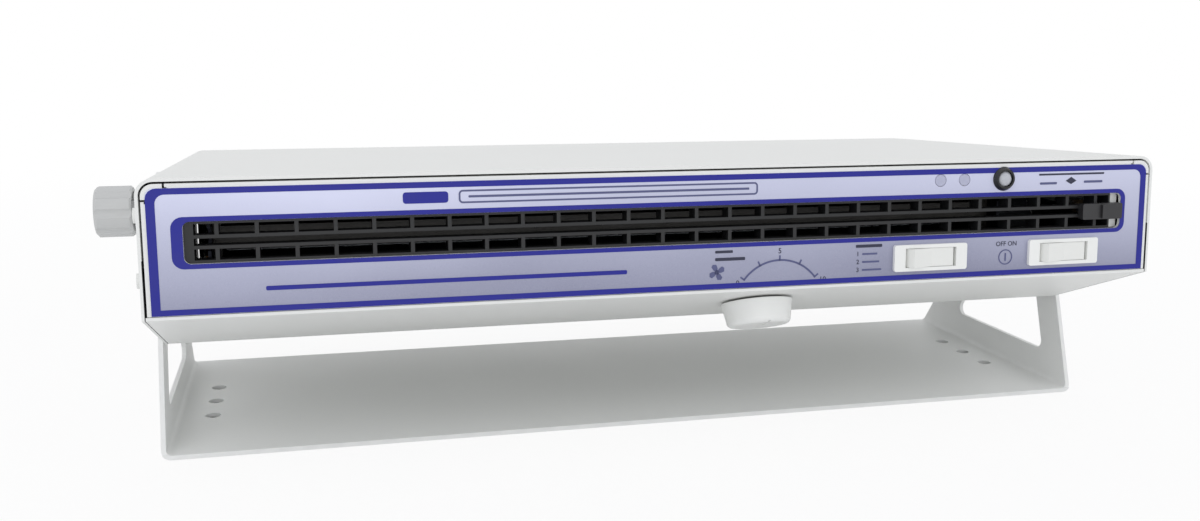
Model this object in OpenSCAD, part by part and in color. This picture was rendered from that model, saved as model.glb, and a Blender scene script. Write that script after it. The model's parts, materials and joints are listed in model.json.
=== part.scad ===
// Ionizing air blower: a housing with a full-width outlet slot, tilting on a U-shaped bench stand.
// Millimetres, +Z up, +Y towards the back. The origin is the centre of the stand's underside.
// Everything on the housing is drawn in the housing's own frame, whose origin is the tilt axis.

/* [Housing] */
// Width of the housing over its side walls
body_w = 430; // [400:1:480]
// Depth of the housing from front to back
body_d = 229; // [220:1:260]
// Height of the flat front face
face_h = 52.5; // [51:0.5:58]
// Run of the sloping lower front, front to back
slope_run = 66; // [60:1:72]
// Drop of the sloping lower front
slope_drop = 22; // [19:0.5:26]
// Thickness of the cover, chassis and panel sheets
sheet = 1.2; // [0.8:0.1:1.6]
// Outer radius of the cover's upper edges
edge_r = 6.5; // [5:0.5:8]
// Visible seam between the cover and the front panel
seam = 0.8; // [0.5:0.1:1.2]
// Depth of the flanges folded back from the front and rear panels
flange_d = 13; // [11:0.5:16]
// Height of the chassis side flanges
side_flange_h = 12; // [8:0.5:16]

/* [Tilt axis] */
// Distance of the tilt axis behind the front face
axis_back = 99; // [92:1:106]
// Distance of the tilt axis below the top of the housing
axis_drop = 20.5; // [18:0.5:23]
// Height of the tilt axis above the bench
axis_h = 99; // [96:1:115]
// Distance of the tilt axis in front of the stand's middle
axis_ahead = 23; // [18:1:28]
// Nose-up tilt at rest
rest_tilt = 3.3; // [0:0.1:8]

/* [Stand] */
// Depth of the stand's base plate
stand_d = 146; // [130:1:160]
// Thickness of the stand's sheet
stand_t = 2; // [1.5:0.1:3]
// Outer radius of the stand's bends
stand_bend_r = 4; // [3.5:0.25:6]
// Radius of the leg's rounded top around the tilt axis
leg_top_r = 17; // [14:0.5:19]
// Width of the leg's front post, measured front to back
front_post_w = 17.5; // [14:0.5:20]
// Width of the leg's rear post, measured front to back
rear_post_w = 26; // [20:0.5:30]
// Height of the solid strip under the leg's window
window_sill = 16; // [12:0.5:22]
// Distance of the window's upper edge below the tilt axis
window_head = 24; // [22:0.5:30]
// Corner radius of the leg's window
window_r = 4; // [2:0.5:6]
// Diameter of the holes in the base plate
base_hole_d = 7; // [5:0.1:9]
// Distance between neighbouring holes of a row
base_hole_pitch = 22; // [18:0.5:30]
// Distance of the hole rows from the outside of the legs
base_hole_inset = 17.5; // [14:0.5:30]

/* [Clamp knobs] */
// Diameter of the clamp studs
stud_d = 6; // [5:0.1:8]
// Thickness of the spacer washers between housing and legs
spacer_t = 1; // [0.6:0.1:2]
// Diameter of the spacer washers
spacer_d = 20; // [16:0.5:24]
// Thickness of the clamp washers outside the legs
clamp_washer_t = 1.2; // [0.8:0.1:2]
// Diameter of the clamp washers
clamp_washer_d = 13; // [12:0.5:18]
// Diameter of the knob's fluted grip
clamp_d = 22.5; // [20:0.5:30]
// Length of the knob's fluted grip
clamp_len = 15.5; // [12:0.5:20]
// Length of the hub between the clamp washer and the grip
clamp_hub_len = 15; // [8:0.5:20]
// Diameter of the knob's hub
clamp_hub_d = 9; // [8.5:0.25:12]
// Number of flutes around the grip
clamp_flutes = 8; // [5:1:12]
// Wall left around the grip's hollow back
clamp_wall = 2.4; // [1.5:0.1:3]
// Depth of the grip's hollow back
clamp_hollow = 9; // [5:0.5:10]
// Length of the threaded pivot inserts
insert_len = 9; // [6:0.5:14]
// Diameter of the threaded pivot inserts
insert_d = 10; // [9:0.5:12]

/* [Outlet] */
// Distance of the outlet opening from the sides of the housing
slot_side = 16; // [16:0.5:30]
// Height of the outlet opening
slot_h = 15.8; // [14:0.1:17]
// Height of the outlet's middle above the lower edge of the face
slot_z = 28.5; // [27.5:0.1:29.5]
// Corner radius of the outlet opening
slot_r = 2.5; // [1:0.5:4]
// Thickness of the printed label
label_t = 0.4; // [0.2:0.05:0.6]
// Margin of bare panel around the label
label_margin = 1.6; // [1:0.1:3]
// Depth of the grille from front to back
grille_d = 7; // [5:0.5:9]
// Distance of the grille behind the panel's front
grille_recess = 1.5; // [1:0.1:2.5]
// Distance between neighbouring ribs
rib_pitch = 14.4; // [10:0.1:18]
// Thickness of the ribs
rib_t = 1.5; // [1:0.1:2.2]
// Thickness of the grille's two rails
rail_t = 1.3; // [1:0.1:1.6]
// Height of the open channel between the rails
channel_h = 2.7; // [2:0.1:3.4]
// Thickness of the grille's frame above and below the ribs
grille_frame_t = 0.9; // [0.6:0.1:1.2]
// Width of the white end piece beside the grille
end_piece_w = 4.2; // [3:0.1:6]

/* [Front controls] */
// Width of a rocker switch's bezel
bezel_w = 34.4; // [30:0.2:36]
// Height of a rocker switch's bezel
bezel_h = 11.4; // [11:0.1:12]
// How far the bezel stands out from the label
bezel_proud = 1.6; // [1:0.1:2.5]
// Height of the switches' middle above the lower edge of the face
switch_z = 11.2; // [10.8:0.1:11.4]
// Distance of the mode switch from the right side of the housing
mode_side = 110; // [105:1:120]
// Distance of the power switch from the right side of the housing
power_side = 45; // [41:1:55]
// Swing radius of a rocker
rocker_r = 11.7; // [10:0.1:12]
// Height of a rocker
rocker_h = 8; // [7:0.1:8.2]
// Swing of a rocker to either side of its middle
rocker_swing = 8; // [5:1:10]
// Depth of the switch body behind the panel
switch_depth = 20; // [17:0.5:24]
// Distance of the first status light from the right side of the housing
led_side = 105.7; // [103:0.1:115]
// Distance between the two status lights
led_pitch = 11.4; // [9:0.1:13]
// Diameter of a status light
led_d = 5; // [3:0.5:5]
// Height of the lights above the lower edge of the face
light_z = 44; // [43:0.1:44.4]
// Distance of the pilot lamp from the right side of the housing
pilot_side = 75.3; // [65:0.1:79]
// Diameter of the pilot lamp's bezel
pilot_d = 10.5; // [9:0.1:11]

/* [Speed knob] */
// Distance of the speed knob from the right side of the housing
speed_side = 179; // [165:1:195]
// Distance of the speed knob's middle down the slope from the face
speed_s = 27; // [24:0.5:34]
// Diameter of the speed knob at its base
speed_d = 31; // [26:0.5:34]
// Height of the speed knob
speed_h = 10.5; // [8:0.5:13]
// Gap between the speed knob and the slope
speed_gap = 1; // [0.5:0.1:2]
// Diameter of the potentiometer's shaft
speed_shaft_d = 6; // [4:0.1:6.5]

/* [Cleaner] */
// Width of the cleaner carriage
carriage_w = 20; // [14:0.5:24]
// Height of the cleaner carriage
carriage_h = 7; // [5:0.1:8]
// How far the carriage stands in front of the grille
carriage_proud = 3.4; // [2.5:0.1:5]
// Thickness of the stem that runs in the channel
carriage_stem_w = 8; // [5:0.5:12]
// Length of the brush from front to back
brush_d = 5; // [3:0.5:6]

/* [Fan] */
// Outer radius of the cross-flow rotor
rotor_r = 20; // [17:0.5:20.5]
// Distance of the rotor's left end from the end of the outlet opening
rotor_side = 12; // [10:0.5:30]
// Distance of the rotor's right end from the end of the outlet opening
motor_room = 56; // [52:0.5:90]
// Number of blades around the rotor
blade_n = 24; // [12:1:30]
// Thickness of the blades
blade_t = 0.8; // [0.6:0.1:1.2]
// Number of ring discs between the rotor's ends
ring_n = 3; // [1:1:5]
// Diameter of the rotor's stub shafts
fan_shaft_d = 5; // [4:0.1:6]
// Distance of the rotor's axis behind the front face
rotor_back = 65; // [62:0.5:70]
// Gap between the rotor and the scroll
scroll_gap = 3; // [2:0.1:4]
// Diameter of the fan motor
motor_d = 42; // [36:0.5:44]
// Length of the fan motor
motor_len = 38; // [30:0.5:42]

/* [Emitters] */
// Distance between neighbouring needles
needle_pitch = 28; // [15:0.5:40]
// Diameter of the emitter needles
needle_d = 1; // [0.6:0.1:1.6]
// Free length of the emitter needles
needle_len = 8; // [5:0.5:10]

/* [Rear and electronics] */
// Distance between neighbouring intake slots
intake_pitch = 9.6; // [8:0.1:12]
// Distance of the power inlet's middle from the outermost intake slot
intake_side = 42; // [38:0.5:60]
// Width of an intake slot
intake_slot_w = 5; // [3:0.1:6]
// Height of an intake slot
intake_slot_h = 44; // [30:1:48]
// Thickness of the intake filter
filter_t = 8; // [5:0.5:12]
// Distance of the power inlet's middle from the right side of the housing
inlet_side = 37; // [30:1:42]
// Length of the control board
board_w = 120; // [80:1:140]
// Depth of the control board
board_d = 64; // [50:1:74]
// Distance of the board's middle from the right side of the housing
board_side = 155; // [120:1:160]
// Distance of the board's middle from the back of the housing
board_back = 72; // [60:1:80]
// Height of the control board above the chassis floor
board_standoff = 7; // [5:0.5:10]
// Length of the high-voltage supply
hv_w = 76; // [60:1:100]
// Depth of the high-voltage supply
hv_d = 46; // [30:1:60]
// Height of the high-voltage supply
hv_h = 30; // [20:1:36]
// Distance of the supply's middle from the left side of the housing
hv_side = 105; // [70:1:115]
// Distance of the supply's middle from the back of the housing
hv_back = 68; // [60:1:80]

/* [Clearances] */
// Radial clearance of shafts and studs in their bores
bore_fit = 0.08; // [0.02:0.01:0.1]
// Clearance between flat parts that pass each other
slide_fit = 0.3; // [0.2:0.05:0.4]
// Clearance between sheets that lie side by side
sheet_fit = 0.2; // [0.1:0.05:0.3]

/* [Hidden] */
$fn = 48;

white = "#e9ebe8";
grey_white = "#c9ccc8";
silver = "#aeb2d6";
black = "#1b1c1e";
steel = "#b9bcc0";

// Housing frame: side view coordinates are [y, z] from the tilt axis
front_y = -axis_back;
back_y = front_y + body_d;
top_z = axis_drop;
face_z = top_z - face_h;
floor_z = face_z - slope_drop;
slope_y = front_y + slope_run;
slope_a = atan(slope_drop / slope_run);
slope_rise = sheet / cos(slope_a);
panel_z = face_z + slope_rise + sheet_fit;
panel_top = top_z - sheet - seam;
panel_w = body_w - 2 * (sheet + seam);
panel_r = max(1, edge_r - sheet - seam);
panel_back = front_y + sheet;
chassis_w = body_w - 2 * (sheet + sheet_fit);
floor_top = floor_z + sheet;
side_in = chassis_w / 2 - sheet;

// Height of the slope's inner face at a place y
function slope_top(y) = face_z + slope_rise - (y - front_y) * tan(slope_a);

// Chassis ears around the tilt inserts, and the corner notches of the front panel
ear_wall = 6;
notch_w = 1.6;
notch_in = 4;
notch_down = 2;
label_foot = 0.2;

// Outlet and grille, side view
slot_w = body_w - 2 * slot_side;
slot_cz = face_z + slot_z;
lattice_y = front_y + grille_recess;
lattice_back = lattice_y + grille_d;
grille_r = 0.8;
grille_lip = 1.6;
grille_flange_t = 1.5;
grille_flange_w = 4;
grille_left_wall = 3.4;
grille_right_wall = 0.8;
grille_x0 = -(slot_w / 2 - sheet_fit);
grille_x1 = slot_w / 2 - sheet_fit - end_piece_w;
rib_edge = 8;
rib_n = 2 * floor((slot_w / 2 - rib_edge) / rib_pitch) + 1;
end_piece_back = 1;

// Duct and fan, side view
duct_t = 1;
duct_clear = 0.8;
duct_top = slot_cz + slot_h / 2 + duct_clear;
duct_low = slot_cz - slot_h / 2 - duct_clear;
duct_y = lattice_back + slide_fit;
rotor_y = front_y + rotor_back;
rotor_z = duct_top - rotor_r - scroll_gap;
scroll_r = rotor_r + scroll_gap;
scroll_end_angle = -30;
tongue_gap = 2;
tongue_r = rotor_r + tongue_gap;
tongue_end_angle = 215;
rotor_x0 = -slot_w / 2 + rotor_side;
rotor_x1 = slot_w / 2 - motor_room;
rotor_len = rotor_x1 - rotor_x0;
rotor_disc_t = 1.5;
ring_t = 1.2;
hub_len = 13;
hub_hold = 11;
hub_wall = 2.5;
hub_r = fan_shaft_d / 2 + hub_wall;
plate_gap = 3;
plate_x0 = rotor_x0 - plate_gap;
plate_x1 = rotor_x1 + plate_gap;
plate_edge = 4;
plate_y1 = slope_y + plate_edge;
plate_back = rotor_y + scroll_r + plate_edge;
plate_rise = 5;
plate_lift = 1;
plate_foot = 10;
bearing_r = fan_shaft_d / 2 + hub_wall;
bearing_len = 5;
bearing_lip = 2.5;
bearing_lip_t = 2;
motor_x0 = plate_x1 + sheet;
motor_screw_r = 13;
motor_nose_d = 14;
motor_nose_len = 3;
shaft_end = 1;

// Emitters
needle_edge = 5;
needle_n = floor((rotor_len - 2 * needle_edge) / needle_pitch) + 1;
needle_tip_len = 2;
needle_tip_d = 0.2;
bar_d = 7;
bar_h = 7;
bar_foot_w = 3;
bar_front = duct_y + brush_d + needle_len + slide_fit;

// Controls
bezel_y = front_y - label_t;
bezel_r = 1;
bezel_front = bezel_y - bezel_proud;
rocker_fit = slide_fit / 2;
rocker_pin_in = 5;
rocker_axis_y = bezel_front + rocker_pin_in;
rocker_sink = 0.4;
rocker_side_in = 2.5;
rocker_back_in = 6;
switch_body_h = bezel_h - 1.2;
switch_body_w = bezel_w - 4;
pin_r = 1;
pin_len = 0.8;
light_cz = face_z + light_z;
led_flange = 0.8;
led_flange_t = 1;
led_back = 2;
light_board_end = 8;
light_board_h = 8;
light_board_t = 1.6;
pilot_body_d = pilot_d - 2.5;
pilot_body_len = 14;
pilot_ring_h = 1.8;
pilot_ring_wall = 1.8;
pilot_ring_bevel = 1;
pilot_well = 2;
pilot_nut_w = 0.6;
pilot_nut_t = 2;
pilot_lens_h = 2.6;
mode_x = body_w / 2 - mode_side;
power_x = body_w / 2 - power_side;
led_x = body_w / 2 - led_side;
pilot_x = body_w / 2 - pilot_side;
speed_x = body_w / 2 - speed_side;

// Potentiometer and speed knob
pot_d = 16;
pot_h = 9;
pot_bore_depth = 6;
pot_bush_d = 7;
pot_nut_d = 11;
pot_nut_h = 2;
knob_foot = 0.8;
knob_taper = 1.4;
knob_round_r = 2.4;
knob_wall = 3.5;
knob_roof = 3;
pointer_w = 1;
pointer_from = 4;
pointer_depth = 0.6;

// Cleaner
stem_h = channel_h - 2 * slide_fit;
stem_end = 3;
brush_h = 8;
brush_seat = 0.5;
brush_thin = 1;
carriage_r = 0.8;
grip_ridge_w = 1.6;
grip_ridge_h = 1.2;
grip_ridge_end = 0.6;
carriage_x1 = slot_w / 2 - slide_fit;
carriage_x0 = carriage_x1 - carriage_w;
carriage_mid = carriage_x0 + carriage_w / 2;
stem_x = carriage_x1 - end_piece_w - carriage_stem_w / 2 - stem_end;

// Rear panel and what it carries
rear_w = chassis_w - 2 * sheet - 2 * sheet_fit;
rear_z0 = floor_top + sheet_fit;
rear_z1 = top_z - sheet - sheet_fit;
rear_lift = 2;
rear_flange_end = 10;
rear_foot_end = 12;
intake_z = (rear_z0 + rear_z1) / 2 + rear_lift;
inlet_x = body_w / 2 - inlet_side;
intake_n = floor(2 * (inlet_x - intake_side) / intake_pitch);
intake_w = intake_n * intake_pitch;
filter_edge = 3;
filter_h = intake_slot_h + 2 * filter_edge;
filter_w = intake_w + filter_edge;
filter_y = back_y - sheet - filter_t;
filter_r = 2;
retainer_bar = 3;
inlet_z = 2;
inlet_w = 28;
inlet_h = 20.5;
inlet_r = 3;
inlet_flange = 2.5;
inlet_flange_t = 3;
inlet_depth = 20;
socket_depth = 14;
socket_w = 24;
socket_h = 16;
socket_cut = 4.5;
socket_r = 1;
prong_x = 7;
prong_z = 2;
prong_w = 2;
prong_h = 4;
fuse_up = 19;
fuse_z = floor_z + fuse_up;
fuse_d = 12.5;
fuse_depth = 28;
fuse_flange = 2;
fuse_cap_len = 6;
fuse_cap_in = 0.75;
fuse_slot_w = 8;
fuse_slot_h = 1.4;
fuse_slot_depth = 1.2;
terminal_d = 4;
terminal_len = 12;
terminal_nut_d = 8;
terminal_nut_t = 3;
terminal_knob_d = 10;
terminal_knob_from = 5;
terminal_knob_t = 5;

// Electronics on the chassis floor
hv_x = hv_side - body_w / 2;
hv_y = back_y - hv_back;
hv_ear = 9;
hv_ear_d = 16;
hv_ear_t = 3;
hv_ear_hole = 4;
board_x = body_w / 2 - board_side;
board_y = back_y - board_back;
board_t = 1.6;
board_hole_in = 5;
board_screw_d = 3;
standoff_d = 6;
board_screw_head_d = 5.5;
board_screw_head_h = 2;

// Stand
leg_in = body_w / 2 + spacer_t + slide_fit / 3;
leg_out = leg_in + stand_t;
pivot_y = -axis_ahead;
base_row_x = leg_out - base_hole_inset;

// Small fasteners
screw_r = 1.5;
screw_head_r = 2.9;
screw_head_h = 1.7;
screw_len = 5;
screw_up = 14;
rear_screw_in = 40;

// Clamp knobs
clamp_x = leg_out + slide_fit / 3;
clamp_hub_x = clamp_x + clamp_washer_t;
clamp_set = 3;
clamp_grip_x = clamp_hub_x + clamp_hub_len - clamp_hollow + clamp_set;
clamp_back_bevel = 0.8;
clamp_front_bevel = 1.2;
flute_r = 3.2;
flute_depth = 0.9;

// Length that a cutting solid runs past what it cuts
over = 1;

// Draws an outline of the YZ plane as a solid from x0 to x1
module along_x(x0, x1) {
    translate([x0, 0, 0]) rotate([90, 0, 90]) linear_extrude(x1 - x0) children();
}

// Draws an outline of the XZ plane as a solid from y0 to y1
module along_y(y0, y1) {
    translate([0, y1, 0]) rotate([90, 0, 0]) linear_extrude(y1 - y0) children();
}

// Places the housing's frame on the stand, at the tilt it rests in
module on_stand() {
    translate([0, pivot_y, axis_h]) rotate([-rest_tilt, 0, 0]) children();
}

// Places a frame on the sloping face, with +Z pointing out of it
module on_slope(s) {
    translate([0, front_y + s * cos(slope_a), face_z - s * sin(slope_a)])
        rotate([180 - slope_a, 0, 0]) children();
}

function unit(v) = v / norm(v);
function half_angle(a, b, c) = acos(unit(a - b) * unit(c - b)) / 2;
function round_centre(a, b, c, r) =
    b + unit(unit(a - b) + unit(c - b)) * r / sin(half_angle(a, b, c));
function round_start(a, b, c, r) = b + unit(a - b) * r / tan(half_angle(a, b, c));

// Convex outline with each corner rounded by its own radius
module rounded(pts, radii) {
    n = len(pts);
    polygon([for (i = [0 : n - 1], side = [0, 1])
        let (before = pts[(i + n - 1) % n], after = pts[(i + 1) % n], here = pts[i])
        side == 0 ? round_start(before, here, after, radii[i])
                  : round_start(after, here, before, radii[i])]);
    for (i = [0 : n - 1])
        if (radii[i] > 0)
            translate(round_centre(pts[(i + n - 1) % n], pts[i], pts[(i + 1) % n], radii[i]))
                circle(r = radii[i]);
}

// Rectangle between two corners, with rounded corners
module rounded_box(x0, z0, x1, z1, r) {
    rounded([[x0, z0], [x1, z0], [x1, z1], [x0, z1]], [r, r, r, r]);
}

// Stadium outline, upright
module upright_slot(w, h) {
    square([w, h - w], center = true);
    for (side = [-1, 1]) translate([0, side * (h - w) / 2]) circle(d = w);
}

// Wedge of a circle between two angles less than 180 degrees apart
module wedge(r, a0, a1) {
    mid = (a0 + a1) / 2;
    polygon([[0, 0], [r * cos(a0), r * sin(a0)],
        [2 * r * cos(mid), 2 * r * sin(mid)], [r * cos(a1), r * sin(a1)]]);
}

// Arc of a sheet bent around the rotor
module bent_arc(r, t, a0, a1) {
    intersection() {
        difference() {
            circle(r = r + t);
            circle(r = r);
        }
        wedge(r + t + 1, a0, a1);
    }
}

// ---------- Stand ----------

leg_foot = [stand_d / 2, 0];

// Tangent point of a leg's edge on its rounded top
function leg_tangent(foot, side) =
    let (v = foot - [pivot_y, axis_h], a = atan2(v.y, v.x) + side * acos(leg_top_r / norm(v)))
    [pivot_y + leg_top_r * cos(a), axis_h + leg_top_r * sin(a)];

// Sideways lean of a leg's edge for each millimetre of height
function leg_lean(foot, side) =
    let (top = leg_tangent(foot, side)) (top.x - foot.x) / top.y;

module leg_outline() {
    polygon([-leg_foot, leg_foot, leg_tangent(leg_foot, 1), leg_tangent(-leg_foot, -1)]);
    translate([pivot_y, axis_h]) circle(r = leg_top_r);
}

// Window whose sides run parallel to the leg's edges
module leg_window() {
    head_z = axis_h - window_head;
    front = leg_lean(-leg_foot, -1);
    rear = leg_lean(leg_foot, 1);
    front_foot = -stand_d / 2 + front_post_w;
    rear_foot = stand_d / 2 - rear_post_w;
    rounded([
        [front_foot + front * window_sill, window_sill],
        [rear_foot + rear * window_sill, window_sill],
        [rear_foot + rear * head_z, head_z],
        [front_foot + front * head_z, head_z]],
        [window_r, window_r, window_r, window_r]);
}

module stand_bracket() color(grey_white)
    difference() {
        intersection() {
            along_y(-stand_d / 2, stand_d / 2) difference() {
                rounded_u(leg_out, stand_bend_r);
                rounded_u(leg_in, stand_bend_r - stand_t, stand_t);
            }
            union() {
                along_x(-leg_out, leg_out) leg_outline();
                translate([-leg_out, -stand_d / 2, 0]) cube([2 * leg_out, stand_d, stand_t]);
            }
        }
        along_x(-leg_out - over, leg_out + over) leg_window();
        along_x(-leg_out - over, leg_out + over)
            translate([pivot_y, axis_h]) circle(d = stud_d + 2 * bore_fit);
        for (side = [-1, 1], i = [-1 : 1])
            translate([side * base_row_x, i * base_hole_pitch, -over])
                cylinder(d = base_hole_d, h = stand_t + 2 * over);
    }

// Tall rectangle with its two lower corners rounded
module rounded_u(half_w, r, z0 = 0) {
    tall = axis_h + 2 * leg_top_r;
    rounded([[-half_w, z0], [half_w, z0], [half_w, tall], [-half_w, tall]], [r, r, 0, 0]);
}

// ---------- Housing shells ----------

module chassis_side_outline() {
    ear = insert_d / 2 + ear_wall;
    flange_back = back_y - flange_d - 2 * sheet;
    polygon([[slope_y, floor_z], [flange_back, floor_z],
        [flange_back, floor_z + side_flange_h], [3 * ear, floor_z + side_flange_h],
        [ear, -ear], [ear, ear], [-ear, ear], [-ear, -ear],
        [-2 * ear, floor_z + side_flange_h], [slope_y, floor_z + side_flange_h]]);
}

module chassis() color(grey_white) on_stand() {
    inner_y = front_y + (face_z + slope_rise - floor_top) / tan(slope_a);
    difference() {
        union() {
            along_x(-chassis_w / 2, chassis_w / 2) polygon([
                [front_y, face_z], [slope_y, floor_z], [back_y - sheet - sheet_fit, floor_z],
                [back_y - sheet - sheet_fit, floor_top], [inner_y, floor_top],
                [front_y, face_z + slope_rise]]);
            for (side = [-1, 1])
                along_x(side > 0 ? side_in : -chassis_w / 2, side > 0 ? chassis_w / 2 : -side_in)
                    chassis_side_outline();
        }
        along_x(-chassis_w, chassis_w) circle(d = insert_d + 2 * bore_fit);
        rear_screw_holes();
        translate([speed_x, 0, 0]) on_slope(speed_s) translate([0, 0, -2 * sheet])
            cylinder(d = pot_bush_d + 2 * bore_fit, h = 3 * sheet);
    }
}

module cover_outline(inset) {
    half_w = body_w / 2 - inset;
    r = edge_r - inset;
    rounded([[-half_w, floor_z - inset], [half_w, floor_z - inset],
        [half_w, top_z - inset], [-half_w, top_z - inset]], [0, 0, r, r]);
}

// Places of the cover's side screws, as [y, z]
cover_screw_at = [
    [panel_back + flange_d / 2, face_z + screw_up],
    [panel_back + flange_d / 2, top_z - screw_up],
    [back_y - sheet - flange_d / 2, floor_z + screw_up],
    [back_y - sheet - flange_d / 2, top_z - screw_up]];

module cover_screw_holes() {
    for (at = cover_screw_at)
        along_x(-body_w, body_w) translate(at) circle(r = screw_r + bore_fit);
}

module top_cover() color(white) on_stand()
    difference() {
        along_y(front_y, back_y) difference() {
            cover_outline(0);
            cover_outline(sheet);
        }
        along_x(-body_w, body_w) polygon([[front_y - over, face_z + over * tan(slope_a)],
            [front_y - over, floor_z - over], [slope_y + over / tan(slope_a), floor_z - over],
            [slope_y, floor_z], [front_y, face_z]]);
        along_x(-body_w, body_w) circle(d = insert_d + 2 * bore_fit);
        cover_screw_holes();
    }

// Openings through the front panel and its label
module face_openings(extra) {
    rounded_box(-slot_w / 2 - extra, slot_cz - slot_h / 2 - extra,
        slot_w / 2 + extra, slot_cz + slot_h / 2 + extra, slot_r);
    for (x = [mode_x, power_x]) translate([x, face_z + switch_z])
        square([switch_body_w + 2 * sheet_fit, switch_body_h + 2 * sheet_fit], center = true);
    for (i = [0, 1]) translate([led_x + i * led_pitch, light_cz])
        circle(d = led_d + 2 * sheet_fit);
    translate([pilot_x, light_cz]) circle(d = pilot_body_d + 2 * sheet_fit);
}

// Bend relief notches beside the panel's rounded corners
module corner_reliefs() {
    for (side = [-1, 1]) {
        translate([side * (panel_w / 2 - panel_r - notch_in), panel_top])
            square([notch_w, 2 * notch_w], center = true);
        translate([side * panel_w / 2, panel_top - panel_r - notch_down])
            square([2 * notch_w, notch_w], center = true);
    }
}

module front_panel() color(white) on_stand()
    difference() {
        union() {
            along_y(front_y, panel_back) difference() {
                rounded([[-panel_w / 2, panel_z], [panel_w / 2, panel_z],
                    [panel_w / 2, panel_top], [-panel_w / 2, panel_top]],
                    [0, 0, panel_r, panel_r]);
                face_openings(0);
                corner_reliefs();
            }
            along_x(-panel_w / 2 + panel_r + notch_in, panel_w / 2 - panel_r - notch_in)
                translate([front_y, panel_top - sheet]) square([flange_d, sheet]);
            for (x = [-panel_w / 2, panel_w / 2 - sheet])
                along_x(x, x + sheet) translate([front_y, panel_z])
                    square([flange_d, panel_top - panel_r - notch_down - panel_z]);
        }
        cover_screw_holes();
    }

module front_label() color(silver) on_stand()
    along_y(front_y - label_t, front_y) difference() {
        half_w = panel_w / 2 - label_margin;
        corner_r = max(label_margin / 2, panel_r - label_margin);
        rounded([[-half_w, panel_z + label_foot], [half_w, panel_z + label_foot],
            [half_w, panel_top - label_margin], [-half_w, panel_top - label_margin]],
            [0, 0, corner_r, corner_r]);
        face_openings(0);
    }

// ---------- Outlet grille ----------

module grille_cells() {
    cell_h = (slot_h - channel_h) / 2 - rail_t - grille_frame_t - sheet_fit;
    for (row = [-1, 1], i = [0 : rib_n]) {
        first = i == 0;
        last = i == rib_n;
        x0 = first ? grille_x0 + grille_left_wall : (i - (rib_n + 1) / 2) * rib_pitch + rib_t / 2;
        x1 = last ? grille_x1 - grille_right_wall : (i - (rib_n - 1) / 2) * rib_pitch - rib_t / 2;
        low = row > 0 ? channel_h / 2 + rail_t : -channel_h / 2 - rail_t - cell_h;
        if (x1 > x0) translate([x0, slot_cz + low]) square([x1 - x0, cell_h]);
    }
}

module outlet_grille() color(black) on_stand()
    difference() {
        union() {
            along_y(lattice_y, lattice_back)
                rounded_box(grille_x0, slot_cz - slot_h / 2 + sheet_fit,
                    grille_x1, slot_cz + slot_h / 2 - sheet_fit, grille_r);
            along_y(panel_back, panel_back + grille_flange_t)
                rounded_box(grille_x0 - grille_flange_w, slot_cz - slot_h / 2 - grille_lip,
                    grille_x1, slot_cz + slot_h / 2 + grille_lip, grille_r);
        }
        along_y(front_y, lattice_back + over) grille_cells();
        translate([grille_x0 + grille_left_wall, front_y, slot_cz - channel_h / 2])
            cube([slot_w, lattice_back + over - front_y, channel_h]);
    }

module grille_end_piece() color(white) on_stand()
    translate([grille_x1 + sheet_fit / 2, 0, slot_cz])
        along_y(lattice_y + end_piece_back, lattice_back)
            translate([0, -slot_h / 2 + sheet_fit]) square([end_piece_w, slot_h - 2 * sheet_fit]);

// ---------- Rear ----------

module rear_openings() {
    for (i = [0 : intake_n - 1])
        translate([(i - (intake_n - 1) / 2) * intake_pitch, intake_z])
            upright_slot(intake_slot_w, intake_slot_h);
    translate([inlet_x, inlet_z])
        square([inlet_w + 2 * sheet_fit, inlet_h + 2 * sheet_fit], center = true);
    translate([inlet_x, fuse_z]) circle(d = fuse_d + 2 * bore_fit);
    translate([-inlet_x, fuse_z]) circle(d = terminal_d + 2 * bore_fit);
}

module rear_panel() color(white) on_stand()
    difference() {
        union() {
            along_y(back_y - sheet, back_y) difference() {
                rounded([[-rear_w / 2, rear_z0], [rear_w / 2, rear_z0],
                    [rear_w / 2, rear_z1], [-rear_w / 2, rear_z1]],
                    [0, 0, edge_r - sheet, edge_r - sheet]);
                rear_openings();
            }
            for (x = [-rear_w / 2, rear_w / 2 - sheet])
                translate([x, back_y - sheet - flange_d, rear_z0 + rear_lift])
                    cube([sheet, flange_d, rear_z1 - rear_z0 - rear_flange_end]);
            translate([-rear_w / 2 + rear_foot_end, back_y - sheet - flange_d, rear_z0])
                cube([rear_w - 2 * rear_foot_end, flange_d, sheet]);
        }
        cover_screw_holes();
        rear_screw_holes();
    }

rear_screw_x = [rear_screw_in - rear_w / 2, 0, rear_w / 2 - rear_screw_in];

module rear_screw_holes() {
    for (x = rear_screw_x)
        translate([x, back_y - sheet - flange_d / 2, floor_z - over])
            cylinder(r = screw_r + bore_fit, h = screw_len + 2 * over);
}

module intake_filter() color("#2b2d2f") on_stand()
    along_y(filter_y + slide_fit, back_y - sheet - slide_fit)
        rounded_box(-filter_w / 2, intake_z - filter_h / 2,
            filter_w / 2, intake_z + filter_h / 2, filter_r);

module filter_retainer() color(white) on_stand()
    difference() {
        wall = sheet + slide_fit;
        along_y(filter_y - sheet, back_y - sheet)
            rounded_box(-filter_w / 2 - wall, intake_z - filter_h / 2 - wall,
                filter_w / 2 + wall, intake_z + filter_h / 2 + wall, filter_r);
        along_y(filter_y, back_y)
            rounded_box(-filter_w / 2 - slide_fit, intake_z - filter_h / 2 - slide_fit,
                filter_w / 2 + slide_fit, intake_z + filter_h / 2 + slide_fit, filter_r / 2);
        along_y(filter_y - 2 * sheet, back_y) for (side = [0, 1]) mirror([side, 0])
            rounded_box(retainer_bar, intake_z - intake_slot_h / 2,
                filter_w / 2 - filter_edge, intake_z + intake_slot_h / 2, filter_edge);
    }

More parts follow.
